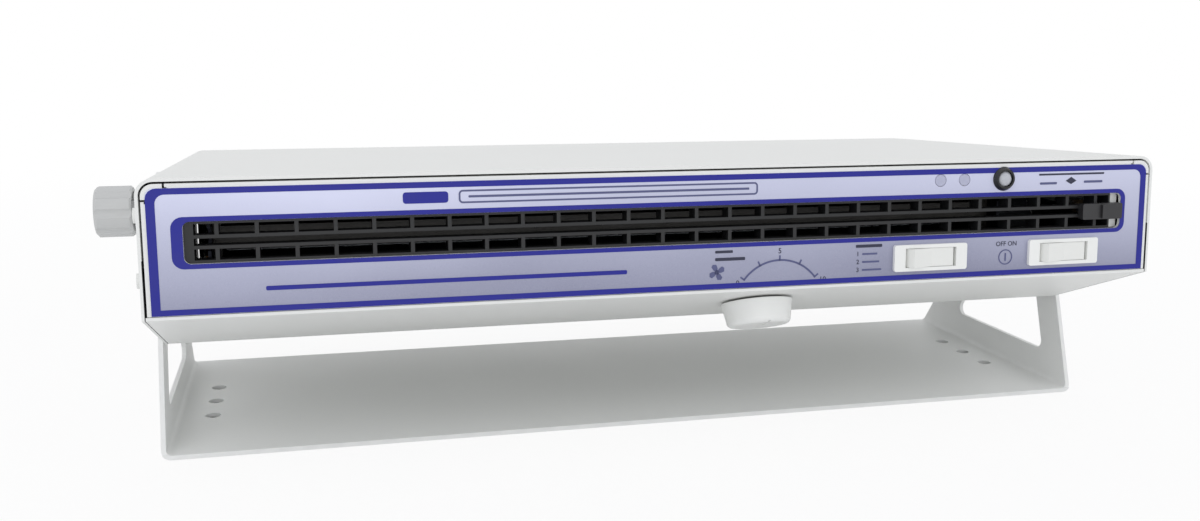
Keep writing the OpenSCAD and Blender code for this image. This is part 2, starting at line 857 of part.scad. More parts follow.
module power_inlet() color(black) on_stand() translate([inlet_x, 0, inlet_z])
    difference() {
        union() {
            along_y(back_y, back_y + inlet_flange_t)
                rounded_box(-inlet_w / 2 - inlet_flange, -inlet_h / 2 - inlet_flange,
                    inlet_w / 2 + inlet_flange, inlet_h / 2 + inlet_flange, inlet_r);
            along_y(back_y - inlet_depth, back_y) square([inlet_w, inlet_h], center = true);
        }
        along_y(back_y - socket_depth, back_y + inlet_flange_t + over) difference() {
            socket_outline();
            for (i = [-1 : 1]) translate([i * prong_x, i == 0 ? prong_z : -prong_z])
                square([prong_w, prong_h], center = true);
        }
    }

// Outline of a three-pin inlet socket, with its two upper corners cut off
module socket_outline() {
    x = socket_w / 2;
    z = socket_h / 2;
    rounded([[-x, -z], [x, -z], [x, z - socket_cut],
        [x - socket_cut, z], [socket_cut - x, z], [-x, z - socket_cut]],
        [for (i = [1 : 6]) socket_r]);
}

module fuse_holder() color(black) on_stand() translate([inlet_x, 0, fuse_z])
    difference() {
        cap_end = back_y + fuse_flange + fuse_cap_len;
        union() {
            along_y(back_y - fuse_depth, back_y) circle(d = fuse_d);
            along_y(back_y, back_y + fuse_flange) circle(d = fuse_d + 2 * fuse_flange);
            along_y(back_y + fuse_flange, cap_end) circle(d = fuse_d - 2 * fuse_cap_in);
        }
        along_y(cap_end - fuse_slot_depth, cap_end + over)
            square([fuse_slot_w, fuse_slot_h], center = true);
    }

module ground_terminal() color("#c8a94a") on_stand() translate([-inlet_x, 0, fuse_z]) {
    along_y(back_y - terminal_len, back_y + terminal_len) circle(d = terminal_d);
    along_y(back_y, back_y + terminal_nut_t) circle(d = terminal_nut_d, $fn = 6);
    along_y(back_y + terminal_knob_from, back_y + terminal_knob_from + terminal_knob_t)
        circle(d = terminal_knob_d);
}

// ---------- Fan ----------

module end_plate_outline() {
    top = duct_top + plate_rise;
    polygon([[duct_y, slope_top(duct_y) + sheet_fit + plate_lift],
        [plate_y1, floor_top + sheet_fit + plate_lift], [plate_y1, floor_top],
        [plate_back, floor_top], [plate_back, top], [duct_y, top]]);
}

module fan_end_plate(x0, foot_dir) {
    difference() {
        union() {
            along_x(x0, x0 + sheet) end_plate_outline();
            translate([foot_dir > 0 ? x0 : x0 + sheet - plate_foot, plate_y1, floor_top])
                cube([plate_foot, plate_back - plate_y1, sheet]);
        }
        along_x(x0 - over, x0 + sheet + over)
            translate([duct_y - over, slot_cz - brush_h / 2 - slide_fit])
                square([brush_d + over + slide_fit, brush_h + 2 * slide_fit]);
        along_x(x0 - over, x0 + sheet + over) translate([rotor_y, rotor_z]) children();
    }
}

module fan_end_plate_left() color(steel) on_stand()
    fan_end_plate(plate_x0 - sheet, -1) circle(r = bearing_r + bore_fit);

module fan_end_plate_right() color(steel) on_stand()
    fan_end_plate(plate_x1, 1) {
        circle(r = hub_r + over);
        for (side = [-1, 1]) translate([side * motor_screw_r, 0]) circle(r = screw_r + bore_fit);
    }

module fan_bearing() color("#b08d57") on_stand()
    translate([0, rotor_y, rotor_z]) difference() {
        union() {
            along_x(plate_x0 - sheet - bearing_len, plate_x0) circle(r = bearing_r);
            along_x(plate_x0 - sheet - bearing_lip_t, plate_x0 - sheet)
                circle(r = bearing_r + bearing_lip);
        }
        along_x(plate_x0 - sheet - bearing_len - over, plate_x0 + over)
            circle(r = fan_shaft_d / 2 + bore_fit);
    }

module fan_shafts() color(steel) on_stand() translate([0, rotor_y, rotor_z]) {
    along_x(plate_x0 - sheet - bearing_len - shaft_end, rotor_x0 + hub_hold)
        circle(d = fan_shaft_d);
    along_x(rotor_x1 - hub_hold, motor_x0 + motor_len + motor_nose_len + shaft_end)
        circle(d = fan_shaft_d);
}

// Parts of the rotor's radius: the rings' holes, the blades' inner edges and their middles
ring_hole = 0.74;
blade_inner = 0.76;
blade_middle = 0.875;
blade_bow = 0.2;

module blade() {
    bow = rotor_r * blade_bow;
    mid_r = rotor_r * blade_middle;
    intersection() {
        difference() {
            circle(r = rotor_r - blade_t / 2);
            circle(r = rotor_r * blade_inner);
        }
        translate([mid_r, -bow + blade_t]) difference() {
            circle(r = bow);
            circle(r = bow - blade_t);
        }
        translate([0, -bow / 2]) square([2 * rotor_r, 2 * bow]);
    }
}

module fan_rotor() color("#8a8f94") on_stand() translate([0, rotor_y, rotor_z]) {
    difference() {
        union() {
            along_x(rotor_x0 + blade_t, rotor_x1 - blade_t)
                for (i = [0 : blade_n - 1]) rotate(i * 360 / blade_n) blade();
            for (i = [1 : ring_n]) {
                x = rotor_x0 + i * rotor_len / (ring_n + 1);
                along_x(x - ring_t / 2, x + ring_t / 2) difference() {
                    circle(r = rotor_r);
                    circle(r = rotor_r * ring_hole);
                }
            }
            for (x = [rotor_x0, rotor_x1 - rotor_disc_t])
                along_x(x, x + rotor_disc_t) circle(r = rotor_r);
            along_x(rotor_x0, rotor_x0 + hub_len) circle(r = hub_r);
            along_x(rotor_x1 - hub_len, rotor_x1) circle(r = hub_r);
        }
        along_x(rotor_x0 - over, rotor_x0 + hub_hold + slide_fit)
            circle(r = fan_shaft_d / 2 + bore_fit);
        along_x(rotor_x1 - hub_hold - slide_fit, rotor_x1 + over)
            circle(r = fan_shaft_d / 2 + bore_fit);
    }
}

module fan_scroll() color(steel) on_stand()
    along_x(plate_x0 + sheet_fit, plate_x1 - sheet_fit) {
        translate([duct_y, duct_top]) square([rotor_y - duct_y, duct_t]);
        translate([rotor_y, rotor_z]) {
            bent_arc(scroll_r, duct_t, 0, 90);
            bent_arc(scroll_r, duct_t, scroll_end_angle, 0);
        }
    }

module fan_tongue() color(steel) on_stand() {
    tip = sqrt(pow(tongue_r, 2) - pow(duct_low - rotor_z, 2));
    along_x(plate_x0 + sheet_fit, plate_x1 - sheet_fit) {
        translate([duct_y, duct_low - duct_t]) square([rotor_y - tip - duct_y, duct_t]);
        translate([rotor_y, rotor_z]) bent_arc(tongue_r, duct_t,
            180 - asin((duct_low - duct_t / 2 - rotor_z) / tongue_r), tongue_end_angle);
    }
}

module fan_motor() color("#55585c") on_stand() translate([0, rotor_y, rotor_z])
    difference() {
        union() {
            along_x(motor_x0, motor_x0 + motor_len) circle(d = motor_d);
            along_x(motor_x0 + motor_len, motor_x0 + motor_len + motor_nose_len)
                circle(d = motor_nose_d);
        }
        along_x(motor_x0 - over, motor_x0 + motor_len + motor_nose_len + over)
            circle(r = fan_shaft_d / 2 + bore_fit);
        for (side = [-1, 1]) translate([0, side * motor_screw_r, 0])
            along_x(motor_x0 - over, motor_x0 + screw_len) circle(r = screw_r + bore_fit);
    }

// Pan-head screw along X: the head's seat is at x = 0 and the shank points in +X
module screw_x(len) {
    along_x(-screw_head_h, 0) circle(r = screw_head_r);
    along_x(0, len) circle(r = screw_r);
}

module motor_screws() color(steel) on_stand()
    for (side = [-1, 1]) translate([plate_x1, rotor_y + side * motor_screw_r, rotor_z])
        screw_x(sheet + screw_len - over);

// ---------- Emitters ----------

module emitter_bar() color("#e6e2d4") on_stand()
    difference() {
        union() {
            translate([plate_x0, bar_front, slot_cz - bar_h / 2])
                cube([plate_x1 - plate_x0, bar_d, bar_h]);
            for (x = [plate_x0, plate_x1 - bar_foot_w]) translate([x, bar_front, duct_low])
                cube([bar_foot_w, bar_d, duct_top - duct_low]);
        }
        needle_places() along_y(bar_front - over, bar_front + bar_d + over)
            circle(d = needle_d + 2 * bore_fit);
    }

module needle_places() {
    for (i = [0 : needle_n - 1])
        translate([(plate_x0 + plate_x1) / 2 + (i - (needle_n - 1) / 2) * needle_pitch, 0, slot_cz])
            children();
}

module emitter_needles() color(steel) on_stand() needle_places() {
    cone_y = bar_front - needle_len + needle_tip_len;
    along_y(cone_y, bar_front + bar_d + over) circle(d = needle_d);
    translate([0, cone_y, 0]) rotate([90, 0, 0])
        cylinder(d1 = needle_d, d2 = needle_tip_d, h = needle_tip_len, $fn = 24);
}

// ---------- Electronics ----------

module high_voltage_supply() color("#23262b") on_stand()
    translate([hv_x - hv_w / 2, hv_y - hv_d / 2, floor_top]) difference() {
        union() {
            cube([hv_w, hv_d, hv_h]);
            translate([-hv_ear, (hv_d - hv_ear_d) / 2, 0])
                cube([hv_w + 2 * hv_ear, hv_ear_d, hv_ear_t]);
        }
        for (x = [-hv_ear / 2, hv_w + hv_ear / 2]) translate([x, hv_d / 2, -over])
            cylinder(d = hv_ear_hole, h = hv_ear_t + 2 * over);
    }

module board_corners() {
    for (sx = [-1, 1], sy = [-1, 1])
        translate([board_x + sx * (board_w / 2 - board_hole_in),
            board_y + sy * (board_d / 2 - board_hole_in), floor_top])
            children();
}

module control_board() color("#2f6b3a") on_stand()
    difference() {
        translate([board_x - board_w / 2, board_y - board_d / 2, floor_top + board_standoff])
            cube([board_w, board_d, board_t]);
        board_corners() cylinder(d = board_screw_d + 2 * bore_fit, h = 3 * board_standoff);
    }

module board_standoffs() color("#c8a94a") on_stand()
    board_corners() {
        cylinder(d = standoff_d, h = board_standoff);
        cylinder(d = board_screw_d, h = board_standoff + board_t);
        translate([0, 0, board_standoff + board_t])
            cylinder(d = board_screw_head_d, h = board_screw_head_h);
    }

module board_components() color("#3b4a6b") on_stand()
    translate([board_x, board_y, floor_top + board_standoff + board_t]) {
        translate([-board_w * 0.3, -board_d * 0.1, 0]) component(board_w / 4, board_d * 0.4, 0.34);
        translate([board_w * 0.1, -board_d * 0.15, 0]) component(board_w * 0.15, board_d * 0.22, 0.2);
        translate([board_w * 0.42, 0, 0]) component(board_w * 0.075, board_d * 0.44, 0.16);
        for (i = [0 : 2]) translate([board_w * (i / 10 - 0.05), board_d * 0.31, 0])
            cylinder(d = board_d / 8, h = board_d / 5);
    }

// Block standing on the board, as high as a part of the board's depth
module component(w, d, tall) {
    translate([-w / 2, -d / 2, 0]) cube([w, d, board_d * tall]);
}

// ---------- Lights, switches and speed control ----------

module status_lights() color("#d9dcf2") on_stand()
    for (i = [0, 1]) translate([led_x + i * led_pitch, 0, light_cz]) {
        along_y(bezel_y, panel_back + led_back) circle(d = led_d);
        along_y(panel_back + led_back, panel_back + led_back + led_flange_t)
            circle(d = led_d + led_flange);
    }

module status_light_board() color("#2f6b3a") on_stand()
    translate([led_x - light_board_end, panel_back + led_back + led_flange_t,
        light_cz - light_board_h / 2])
        cube([led_pitch + 2 * light_board_end, light_board_t, light_board_h]);

module pilot_lamp_bezel() color(black) on_stand() translate([pilot_x, 0, light_cz])
    difference() {
        union() {
            translate([0, bezel_y, 0]) rotate([90, 0, 0])
                cylinder(d1 = pilot_d, d2 = pilot_d - 2 * pilot_ring_bevel, h = pilot_ring_h);
            along_y(bezel_y, panel_back + pilot_body_len) circle(d = pilot_body_d);
            along_y(panel_back, panel_back + pilot_nut_t) circle(d = pilot_d + pilot_nut_w, $fn = 6);
        }
        along_y(bezel_y - pilot_ring_h - over, bezel_y + pilot_well)
            circle(d = pilot_d - 2 * pilot_ring_wall);
    }

module pilot_lamp_lens() color("#c7cbd2") on_stand()
    translate([pilot_x, bezel_y + pilot_well, light_cz]) rotate([90, 0, 0]) {
        r = pilot_d / 2 - pilot_ring_wall - bore_fit;
        sink = 0.6 * r;
        cylinder(r = r, h = pilot_lens_h);
        translate([0, 0, pilot_lens_h]) intersection() {
            translate([0, 0, -sink]) sphere(r = norm([r, sink]));
            cylinder(r = r, h = r);
        }
    }

// Switch housing with its bezel, open at the front for the rocker
module switch_body(x) {
    translate([x, 0, face_z + switch_z]) difference() {
        union() {
            along_y(bezel_front, bezel_y)
                rounded_box(-bezel_w / 2, -bezel_h / 2, bezel_w / 2, bezel_h / 2, bezel_r);
            along_y(bezel_y, panel_back + switch_depth)
                square([switch_body_w, switch_body_h], center = true);
        }
        translate([0, rocker_axis_y, -rocker_h / 2 - rocker_fit])
            cylinder(r = rocker_r + slide_fit, h = rocker_h + 2 * rocker_fit);
        translate([-rocker_r - slide_fit, bezel_front - over, -rocker_h / 2 - rocker_fit])
            cube([2 * (rocker_r + slide_fit), rocker_pin_in + over, rocker_h + 2 * rocker_fit]);
        translate([0, rocker_axis_y, -rocker_h / 2 - over])
            cylinder(r = pin_r + bore_fit, h = rocker_h + 2 * over);
    }
}

// Rocker with two faces that meet in a shallow valley; its ends are arcs about the pins
module rocker(x) {
    valley = rocker_sink - rocker_pin_in;
    rise = tan(rocker_swing) * rocker_r;
    translate([x, rocker_axis_y, face_z + switch_z]) rotate([0, 0, rocker_swing]) {
        translate([0, 0, -rocker_h / 2]) linear_extrude(rocker_h) intersection() {
            circle(r = rocker_r);
            polygon([[0, valley], [rocker_r, valley - rise], [rocker_r, rocker_side_in],
                [0, rocker_back_in], [-rocker_r, rocker_side_in], [-rocker_r, valley - rise]]);
        }
        translate([0, 0, -rocker_h / 2 - pin_len]) cylinder(r = pin_r, h = rocker_h + 2 * pin_len);
    }
}

module mode_switch_body() color(white) on_stand() switch_body(mode_x);
module power_switch_body() color(white) on_stand() switch_body(power_x);
module mode_rocker() color(white) on_stand() rocker(mode_x);
module power_rocker() color(white) on_stand() rocker(power_x);

module speed_potentiometer() color("#4a4d52") on_stand() translate([speed_x, 0, 0])
    on_slope(speed_s) difference() {
        union() {
            translate([0, 0, -sheet - pot_h]) cylinder(d = pot_d, h = pot_h);
            translate([0, 0, -sheet]) cylinder(d = pot_bush_d, h = sheet + pot_nut_h + speed_gap);
        }
        translate([0, 0, -sheet - pot_bore_depth])
            cylinder(d = speed_shaft_d + 2 * bore_fit, h = pot_bore_depth + speed_h);
    }

module potentiometer_nut() color(steel) on_stand() translate([speed_x, 0, 0])
    on_slope(speed_s) difference() {
        cylinder(d = pot_nut_d, h = pot_nut_h, $fn = 6);
        translate([0, 0, -over])
            cylinder(d = pot_bush_d + 2 * bore_fit, h = pot_nut_h + 2 * over);
    }

module speed_shaft() color(steel) on_stand() translate([speed_x, 0, 0])
    on_slope(speed_s) translate([0, 0, -sheet - pot_bore_depth + slide_fit])
        cylinder(d = speed_shaft_d,
            h = sheet + pot_bore_depth + speed_gap + speed_h - knob_roof - slide_fit);

// Turned knob: skirt, tapered side, rounded end and a recess over the nut
module speed_knob() color(white) on_stand() translate([speed_x, 0, 0])
    on_slope(speed_s) translate([0, 0, speed_gap]) difference() {
        r = speed_d / 2;
        end_r = r - knob_taper;
        round_r = knob_round_r;
        rotate_extrude($fn = 72) {
            polygon([[0, 0], [r, 0], [r, knob_foot], [end_r, speed_h - round_r],
                [end_r - round_r, speed_h], [0, speed_h]]);
            translate([end_r - round_r, speed_h - round_r]) circle(r = round_r);
        }
        translate([0, 0, -over]) cylinder(r = r - knob_wall, h = pot_nut_h + 2 * over);
        translate([0, 0, -over])
            cylinder(d = speed_shaft_d + 2 * bore_fit, h = over + speed_h - knob_roof);
        translate([-pointer_w / 2, pointer_from, speed_h - pointer_depth])
            cube([pointer_w, r - pointer_from, over]);
    }

// ---------- Point cleaner ----------

module cleaner_carriage() color(black) on_stand() {
    face_y = lattice_y - slide_fit;
    translate([0, 0, slot_cz]) {
        along_y(face_y - carriage_proud, face_y) rounded_box(carriage_x0, -carriage_h / 2,
            carriage_x1, carriage_h / 2, carriage_r);
        along_y(face_y - carriage_proud - grip_ridge_h, face_y - carriage_proud)
            translate([carriage_mid, 0])
                square([grip_ridge_w, carriage_h - 2 * grip_ridge_end], center = true);
        along_y(face_y, duct_y + brush_seat) translate([stem_x - carriage_stem_w / 2, -stem_h / 2])
            square([carriage_stem_w, stem_h]);
    }
}

module cleaner_brush() color("#6b5a3a") on_stand()
    along_y(duct_y + brush_seat, duct_y + brush_d) translate([stem_x, slot_cz])
        square([carriage_stem_w - brush_thin, brush_h], center = true);

// ---------- Tilt clamps ----------

module pivot_inserts() color(steel) on_stand()
    for (side = [0, 1]) mirror([side, 0, 0]) difference() {
        along_x(body_w / 2 - insert_len, body_w / 2) circle(d = insert_d);
        along_x(body_w / 2 - insert_len - over, body_w / 2 + over)
            circle(d = stud_d + 2 * bore_fit);
    }

module spacer_washers() color(black) on_stand()
    for (side = [0, 1]) mirror([side, 0, 0])
        along_x(body_w / 2, body_w / 2 + spacer_t) difference() {
            circle(d = spacer_d);
            circle(d = stud_d + 2 * bore_fit);
        }

module clamp_washer() {
    along_x(clamp_x, clamp_x + clamp_washer_t) difference() {
        circle(d = clamp_washer_d);
        circle(d = stud_d + 2 * bore_fit);
    }
}

module clamp_stud() {
    along_x(body_w / 2 - insert_len, clamp_hub_x + clamp_hub_len) circle(d = stud_d);
}

// Fluted knob with a hollow back and a hub that bears on the clamp washer
module clamp_knob() {
    r = clamp_d / 2;
    difference() {
        translate([clamp_grip_x, 0, 0]) rotate([0, 90, 0]) rotate_extrude($fn = 72)
            polygon([[0, 0], [r - clamp_back_bevel, 0], [r, clamp_back_bevel],
                [r, clamp_len - clamp_front_bevel], [r - clamp_front_bevel, clamp_len],
                [0, clamp_len]]);
        for (i = [0 : clamp_flutes - 1]) rotate([i * 360 / clamp_flutes, 0, 0])
            along_x(clamp_grip_x - over, clamp_grip_x + clamp_len + over)
                translate([0, r + flute_r - flute_depth]) circle(r = flute_r);
        along_x(clamp_grip_x - over, clamp_grip_x + clamp_hollow) circle(r = r - clamp_wall);
        clamp_bore();
    }
    difference() {
        along_x(clamp_hub_x, clamp_grip_x + clamp_hollow) circle(d = clamp_hub_d);
        clamp_bore();
    }
}

module clamp_bore() {
    along_x(0, clamp_hub_x + clamp_hub_len + slide_fit) circle(d = stud_d + 2 * bore_fit);
}

module clamp_knob_left() color("#b9bcb9") on_stand() mirror([1, 0, 0]) clamp_knob();
module clamp_stud_left() color(steel) on_stand() mirror([1, 0, 0]) clamp_stud();
module clamp_washer_left() color(steel) on_stand() mirror([1, 0, 0]) clamp_washer();
module clamp_knob_right() color("#b9bcb9") on_stand() clamp_knob();
module clamp_stud_right() color(steel) on_stand() clamp_stud();
module clamp_washer_right() color(steel) on_stand() clamp_washer();

// ---------- Fasteners ----------

module cover_screws() color(steel) on_stand()
    for (side = [0, 1], at = cover_screw_at) mirror([side, 0, 0])
        translate([-body_w / 2, at.x, at.y]) screw_x(screw_len);

module rear_screws() color(steel) on_stand()
    for (x = rear_screw_x)
        translate([x, back_y - sheet - flange_d / 2, floor_z]) rotate([0, -90, 0]) screw_x(screw_len);

stand_bracket();
chassis();
top_cover();
front_panel();
front_label();
outlet_grille();
grille_end_piece();
rear_panel();
intake_filter();
filter_retainer();
fan_end_plate_left();
fan_end_plate_right();
fan_scroll();
fan_tongue();
fan_rotor();
fan_shafts();
fan_bearing();
fan_motor();
motor_screws();
emitter_bar();
emitter_needles();
high_voltage_supply();
control_board();
board_components();
board_standoffs();
status_light_board();
status_lights();
pilot_lamp_bezel();
pilot_lamp_lens();
mode_switch_body();
mode_rocker();
power_switch_body();
power_rocker();
speed_potentiometer();
potentiometer_nut();
speed_shaft();
speed_knob();
cleaner_carriage();
cleaner_brush();
power_inlet();
fuse_holder();
ground_terminal();
pivot_inserts();
spacer_washers();
clamp_knob_left();
clamp_stud_left();
clamp_washer_left();
clamp_knob_right();
clamp_stud_right();
clamp_washer_right();
cover_screws();
rear_screws();
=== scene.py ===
"""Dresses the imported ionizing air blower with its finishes, printed front and fine details."""

import json
import logging
import math
from dataclasses import dataclass, field
from enum import Enum
from typing import ClassVar

import bmesh
import bpy
from mathutils import Matrix, Vector


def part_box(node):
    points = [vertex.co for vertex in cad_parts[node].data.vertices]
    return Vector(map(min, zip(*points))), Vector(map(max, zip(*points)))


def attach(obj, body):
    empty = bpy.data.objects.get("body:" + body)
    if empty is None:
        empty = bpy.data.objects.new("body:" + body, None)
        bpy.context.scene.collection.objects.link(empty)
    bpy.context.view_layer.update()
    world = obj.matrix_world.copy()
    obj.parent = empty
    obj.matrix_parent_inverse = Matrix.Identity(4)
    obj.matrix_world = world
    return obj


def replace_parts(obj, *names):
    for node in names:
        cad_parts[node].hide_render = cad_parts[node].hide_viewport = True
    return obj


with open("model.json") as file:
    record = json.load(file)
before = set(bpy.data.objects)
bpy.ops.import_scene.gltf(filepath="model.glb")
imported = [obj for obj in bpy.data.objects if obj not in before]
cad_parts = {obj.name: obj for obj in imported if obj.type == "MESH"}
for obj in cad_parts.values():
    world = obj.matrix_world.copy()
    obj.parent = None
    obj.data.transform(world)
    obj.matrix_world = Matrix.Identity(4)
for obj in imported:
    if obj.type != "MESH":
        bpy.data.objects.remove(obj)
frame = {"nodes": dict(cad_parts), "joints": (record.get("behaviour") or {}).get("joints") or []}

LOG = logging.getLogger("ionizing_blower")
MM = 0.001
Colour = tuple[float, float, float, float]
Point2 = tuple[float, float]


def srgb(red: float, green: float, blue: float) -> Colour:
    """Turns a display colour into the linear colour that a shader takes.

    Args:
        red: Red, from 0 to 255.
        green: Green, from 0 to 255.
        blue: Blue, from 0 to 255.

    Returns:
        The linear colour with full opacity.
    """
    def channel(value: float) -> float:
        """Linear value of one channel."""
        share = value / 255
        return share / 12.92 if share <= 0.04045 else ((share + 0.055) / 1.055) ** 2.4

    return (channel(red), channel(green), channel(blue), 1.0)


def shaded(colour: Colour, factor: float) -> Colour:
    """Makes a colour lighter or darker.

    Args:
        colour: Linear colour to start from.
        factor: What each channel is multiplied by.

    Returns:
        The changed colour, held below white.
    """
    return (*(min(0.98, channel * factor) for channel in colour[:3]), 1.0)


class Graph:
    """Adds and joins the nodes of one material or geometry tree."""

    def __init__(self, tree: bpy.types.NodeTree) -> None:
        """Starts on an empty tree.

        Args:
            tree: Node tree to fill.
        """
        self.tree = tree
        tree.nodes.clear()

    def add(self, kind: str, sockets: dict | None = None, **settings: object) -> bpy.types.Node:
        """Adds a node.

        Args:
            kind: Blender's name for the node type.
            sockets: Inputs by name or index; a socket is linked and a plain value is set.
            **settings: Properties of the node.

        Returns:
            The new node.
        """
        node = self.tree.nodes.new(kind)
        for name, value in settings.items():
            setattr(node, name, value)
        for key, value in (sockets or {}).items():
            if isinstance(value, bpy.types.NodeSocket):
                self.tree.links.new(value, node.inputs[key])
            else:
                node.inputs[key].default_value = value
        return node

    def maths(self, operation: str, *values: object) -> bpy.types.NodeSocket:
        """Adds a maths node.

        Args:
            operation: Name of the operation.
            *values: Sockets or numbers for its inputs, in order.

        Returns:
            The socket that holds the result.
        """
        node = self.add("ShaderNodeMath", dict(enumerate(values)), operation=operation)
        return node.outputs[0]

    def mix(self, factor: object, first: object, second: object) -> bpy.types.NodeSocket:
        """Mixes two colours.

        Args:
            factor: Socket or number; 0 gives the first colour and 1 the second.
            first: Socket or colour.
            second: Socket or colour.

        Returns:
            The mixed colour's socket.
        """
        node = self.add("ShaderNodeMix", {0: factor, 6: first, 7: second}, data_type="RGBA")
        return node.outputs[2]

    def ranged(self, value: object, low: float, high: float, start: float = 0.0,
               end: float = 1.0) -> bpy.types.NodeSocket:
        """Maps a value from one range to another, held at its ends.

        Args:
            value: Socket to map.
            low: Value that gives the start.
            high: Value that gives the end.
            start: Result at the low value.
            end: Result at the high value.

        Returns:
            The mapped value's socket.
        """
        node = self.add("ShaderNodeMapRange", {
            "Value": value, "From Min": low, "From Max": high, "To Min": start, "To Max": end})
        return node.outputs[0]


@dataclass(frozen=True)
class Finish:
    """A surface finish: a colour, a roughness and the fine detail that the real surface has."""

    name: str
    colour: Colour
    roughness: float = 0.5
    metallic: float = 0.0

    def material(self) -> bpy.types.Material:
        """Builds the finish, or gives the one built before.

        Returns:
            The material.
        """
        known = bpy.data.materials.get(self.name)
        if known:
            return known
        made = bpy.data.materials.new(self.name)
        made.use_nodes = True
        made.diffuse_color = self.colour
        graph = Graph(made.node_tree)
        shader = graph.add("ShaderNodeBsdfPrincipled", {
            "Base Color": self.colour, "Roughness": self.roughness, "Metallic": self.metallic})
        place = graph.add("ShaderNodeTexCoord").outputs["Object"]
        self.detail(graph, shader, place)
        out = graph.add("ShaderNodeOutputMaterial")
        graph.tree.links.new(shader.outputs[0], out.inputs["Surface"])
        return made

    def detail(self, graph: Graph, shader: bpy.types.Node, place: bpy.types.NodeSocket) -> None:
        """Adds what makes the surface more than one flat colour.

        Args:
            graph: Tree of the material.
            shader: Its surface shader.
            place: Object coordinates.
        """
        self.mottle(graph, shader, place, 30.0, 0.03)

    def noise(self, graph: Graph, place: bpy.types.NodeSocket, scale: float,
              detail: float = 2.0, stretch: tuple[float, float, float] = (1, 1, 1),
              ) -> bpy.types.NodeSocket:
        """Adds a noise pattern.

        Args:
            graph: Tree of the material.
            place: Coordinates.
            scale: Number of grains per metre.
            detail: Layers of finer grain.
            stretch: Scale of the coordinates along each axis.

        Returns:
            The noise's value.
        """
        if stretch != (1, 1, 1):
            place = graph.add("ShaderNodeMapping", {"Vector": place, "Scale": stretch}).outputs[0]
        node = graph.add("ShaderNodeTexNoise", {"Vector": place, "Scale": scale, "Detail": detail})
        return node.outputs[0]

    def mottle(self, graph: Graph, shader: bpy.types.Node, place: bpy.types.NodeSocket,
               scale: float, amount: float) -> None:
        """Lets the colour and the gloss wander a little.

        Args:
            graph: Tree of the material.
            shader: Its surface shader.
            place: Object coordinates.
            scale: Number of patches per metre.
            amount: Share by which the colour changes.
        """
        patch = self.noise(graph, place, scale, 3.0)
        tone = graph.mix(patch, shaded(self.colour, 1 - amount), shaded(self.colour, 1 + amount))
        graph.tree.links.new(tone, shader.inputs["Base Color"])
        gloss = graph.ranged(patch, 0.3, 0.7, self.roughness - 0.04, self.roughness + 0.04)
        graph.tree.links.new(gloss, shader.inputs["Roughness"])

    def bump(self, graph: Graph, shader: bpy.types.Node, height: bpy.types.NodeSocket,
             depth_mm: float) -> None:
        """Gives the surface fine relief.

        Args:
            graph: Tree of the material.
            shader: Its surface shader.
            height: Height, from 0 to 1.
            depth_mm: Depth of the relief.
        """
        node = graph.add("ShaderNodeBump", {"Height": height, "Distance": depth_mm * MM,
                                            "Strength": 1.0})
        graph.tree.links.new(node.outputs[0], shader.inputs["Normal"])


@dataclass(frozen=True)
class PowderCoat(Finish):
    """Baked powder coat with orange peel, and where inner_mm is set, painted shade on the inner
    side walls.
    """

    peel_mm: float = 1.1
    inner_mm: float = 0.0
    inner_top_mm: float = 95.0
    inner_skin_mm: float = 0.3
    # Dark colour painted on the inner faces as shade.
    bare: Colour = srgb(52, 53, 54)

    def inner_walls(self, graph: Graph, shader: bpy.types.Node,
                    place: bpy.types.NodeSocket) -> None:
        """Paints shade on the side walls' inner faces: a dark colour where the inside gets little
        light.

        Args:
            graph: Graph that is being filled.
            shader: Shader of the finish.
            place: Coordinates of the surface.
        """
        axes = graph.add("ShaderNodeSeparateXYZ", {0: place}).outputs
        across = graph.maths("ABSOLUTE", axes["X"])
        share = graph.maths("LESS_THAN", across, self.inner_mm * MM)
        inner_side = (self.inner_mm - self.inner_skin_mm) * MM
        for test in (graph.maths("GREATER_THAN", across, inner_side),
                     graph.maths("LESS_THAN", axes["Z"], self.inner_top_mm * MM)):
            share = graph.maths("MULTIPLY", share, test)
        coat = shader.inputs["Base Color"].links[0].from_socket
        # Mixes the painted shade colour in on the thin skin of the inner faces.
        graph.tree.links.new(graph.mix(share, coat, self.bare), shader.inputs["Base Color"])

    def detail(self, graph: Graph, shader: bpy.types.Node, place: bpy.types.NodeSocket) -> None:
        """Adds soft colour patches, the orange peel and any painted shade on the inner walls.

        Args:
            graph: Graph that is being filled.
            shader: Shader of the finish.
            place: Coordinates of the surface.
        """
        self.mottle(graph, shader, place, 9.0, 0.018)
        peel = self.noise(graph, place, 1000 / self.peel_mm, 2.0)
        grain = self.noise(graph, place, 4000 / self.peel_mm, 1.0)
        both = graph.maths("ADD", peel, graph.maths("MULTIPLY", grain, 0.35))
        self.bump(graph, shader, both, 0.012)
        # Painted shade on the inner side walls, where inner_mm is set.
        if self.inner_mm:
            self.inner_walls(graph, shader, place)


@dataclass(frozen=True)
class Moulded(Finish):
    """Moulded plastic with a fine spark-eroded texture."""

    grain_mm: float = 0.35
    relief_mm: float = 0.006

    def detail(self, graph: Graph, shader: bpy.types.Node, place: bpy.types.NodeSocket) -> None:
        """Adds flow marks and the mould's texture.

        Args:
            graph: Graph that is being filled.
            shader: Shader of the finish.
            place: Coordinates of the surface.
        """
        self.mottle(graph, shader, place, 22.0, 0.03)
        self.bump(graph, shader, self.noise(graph, place, 1000 / self.grain_mm), self.relief_mm)


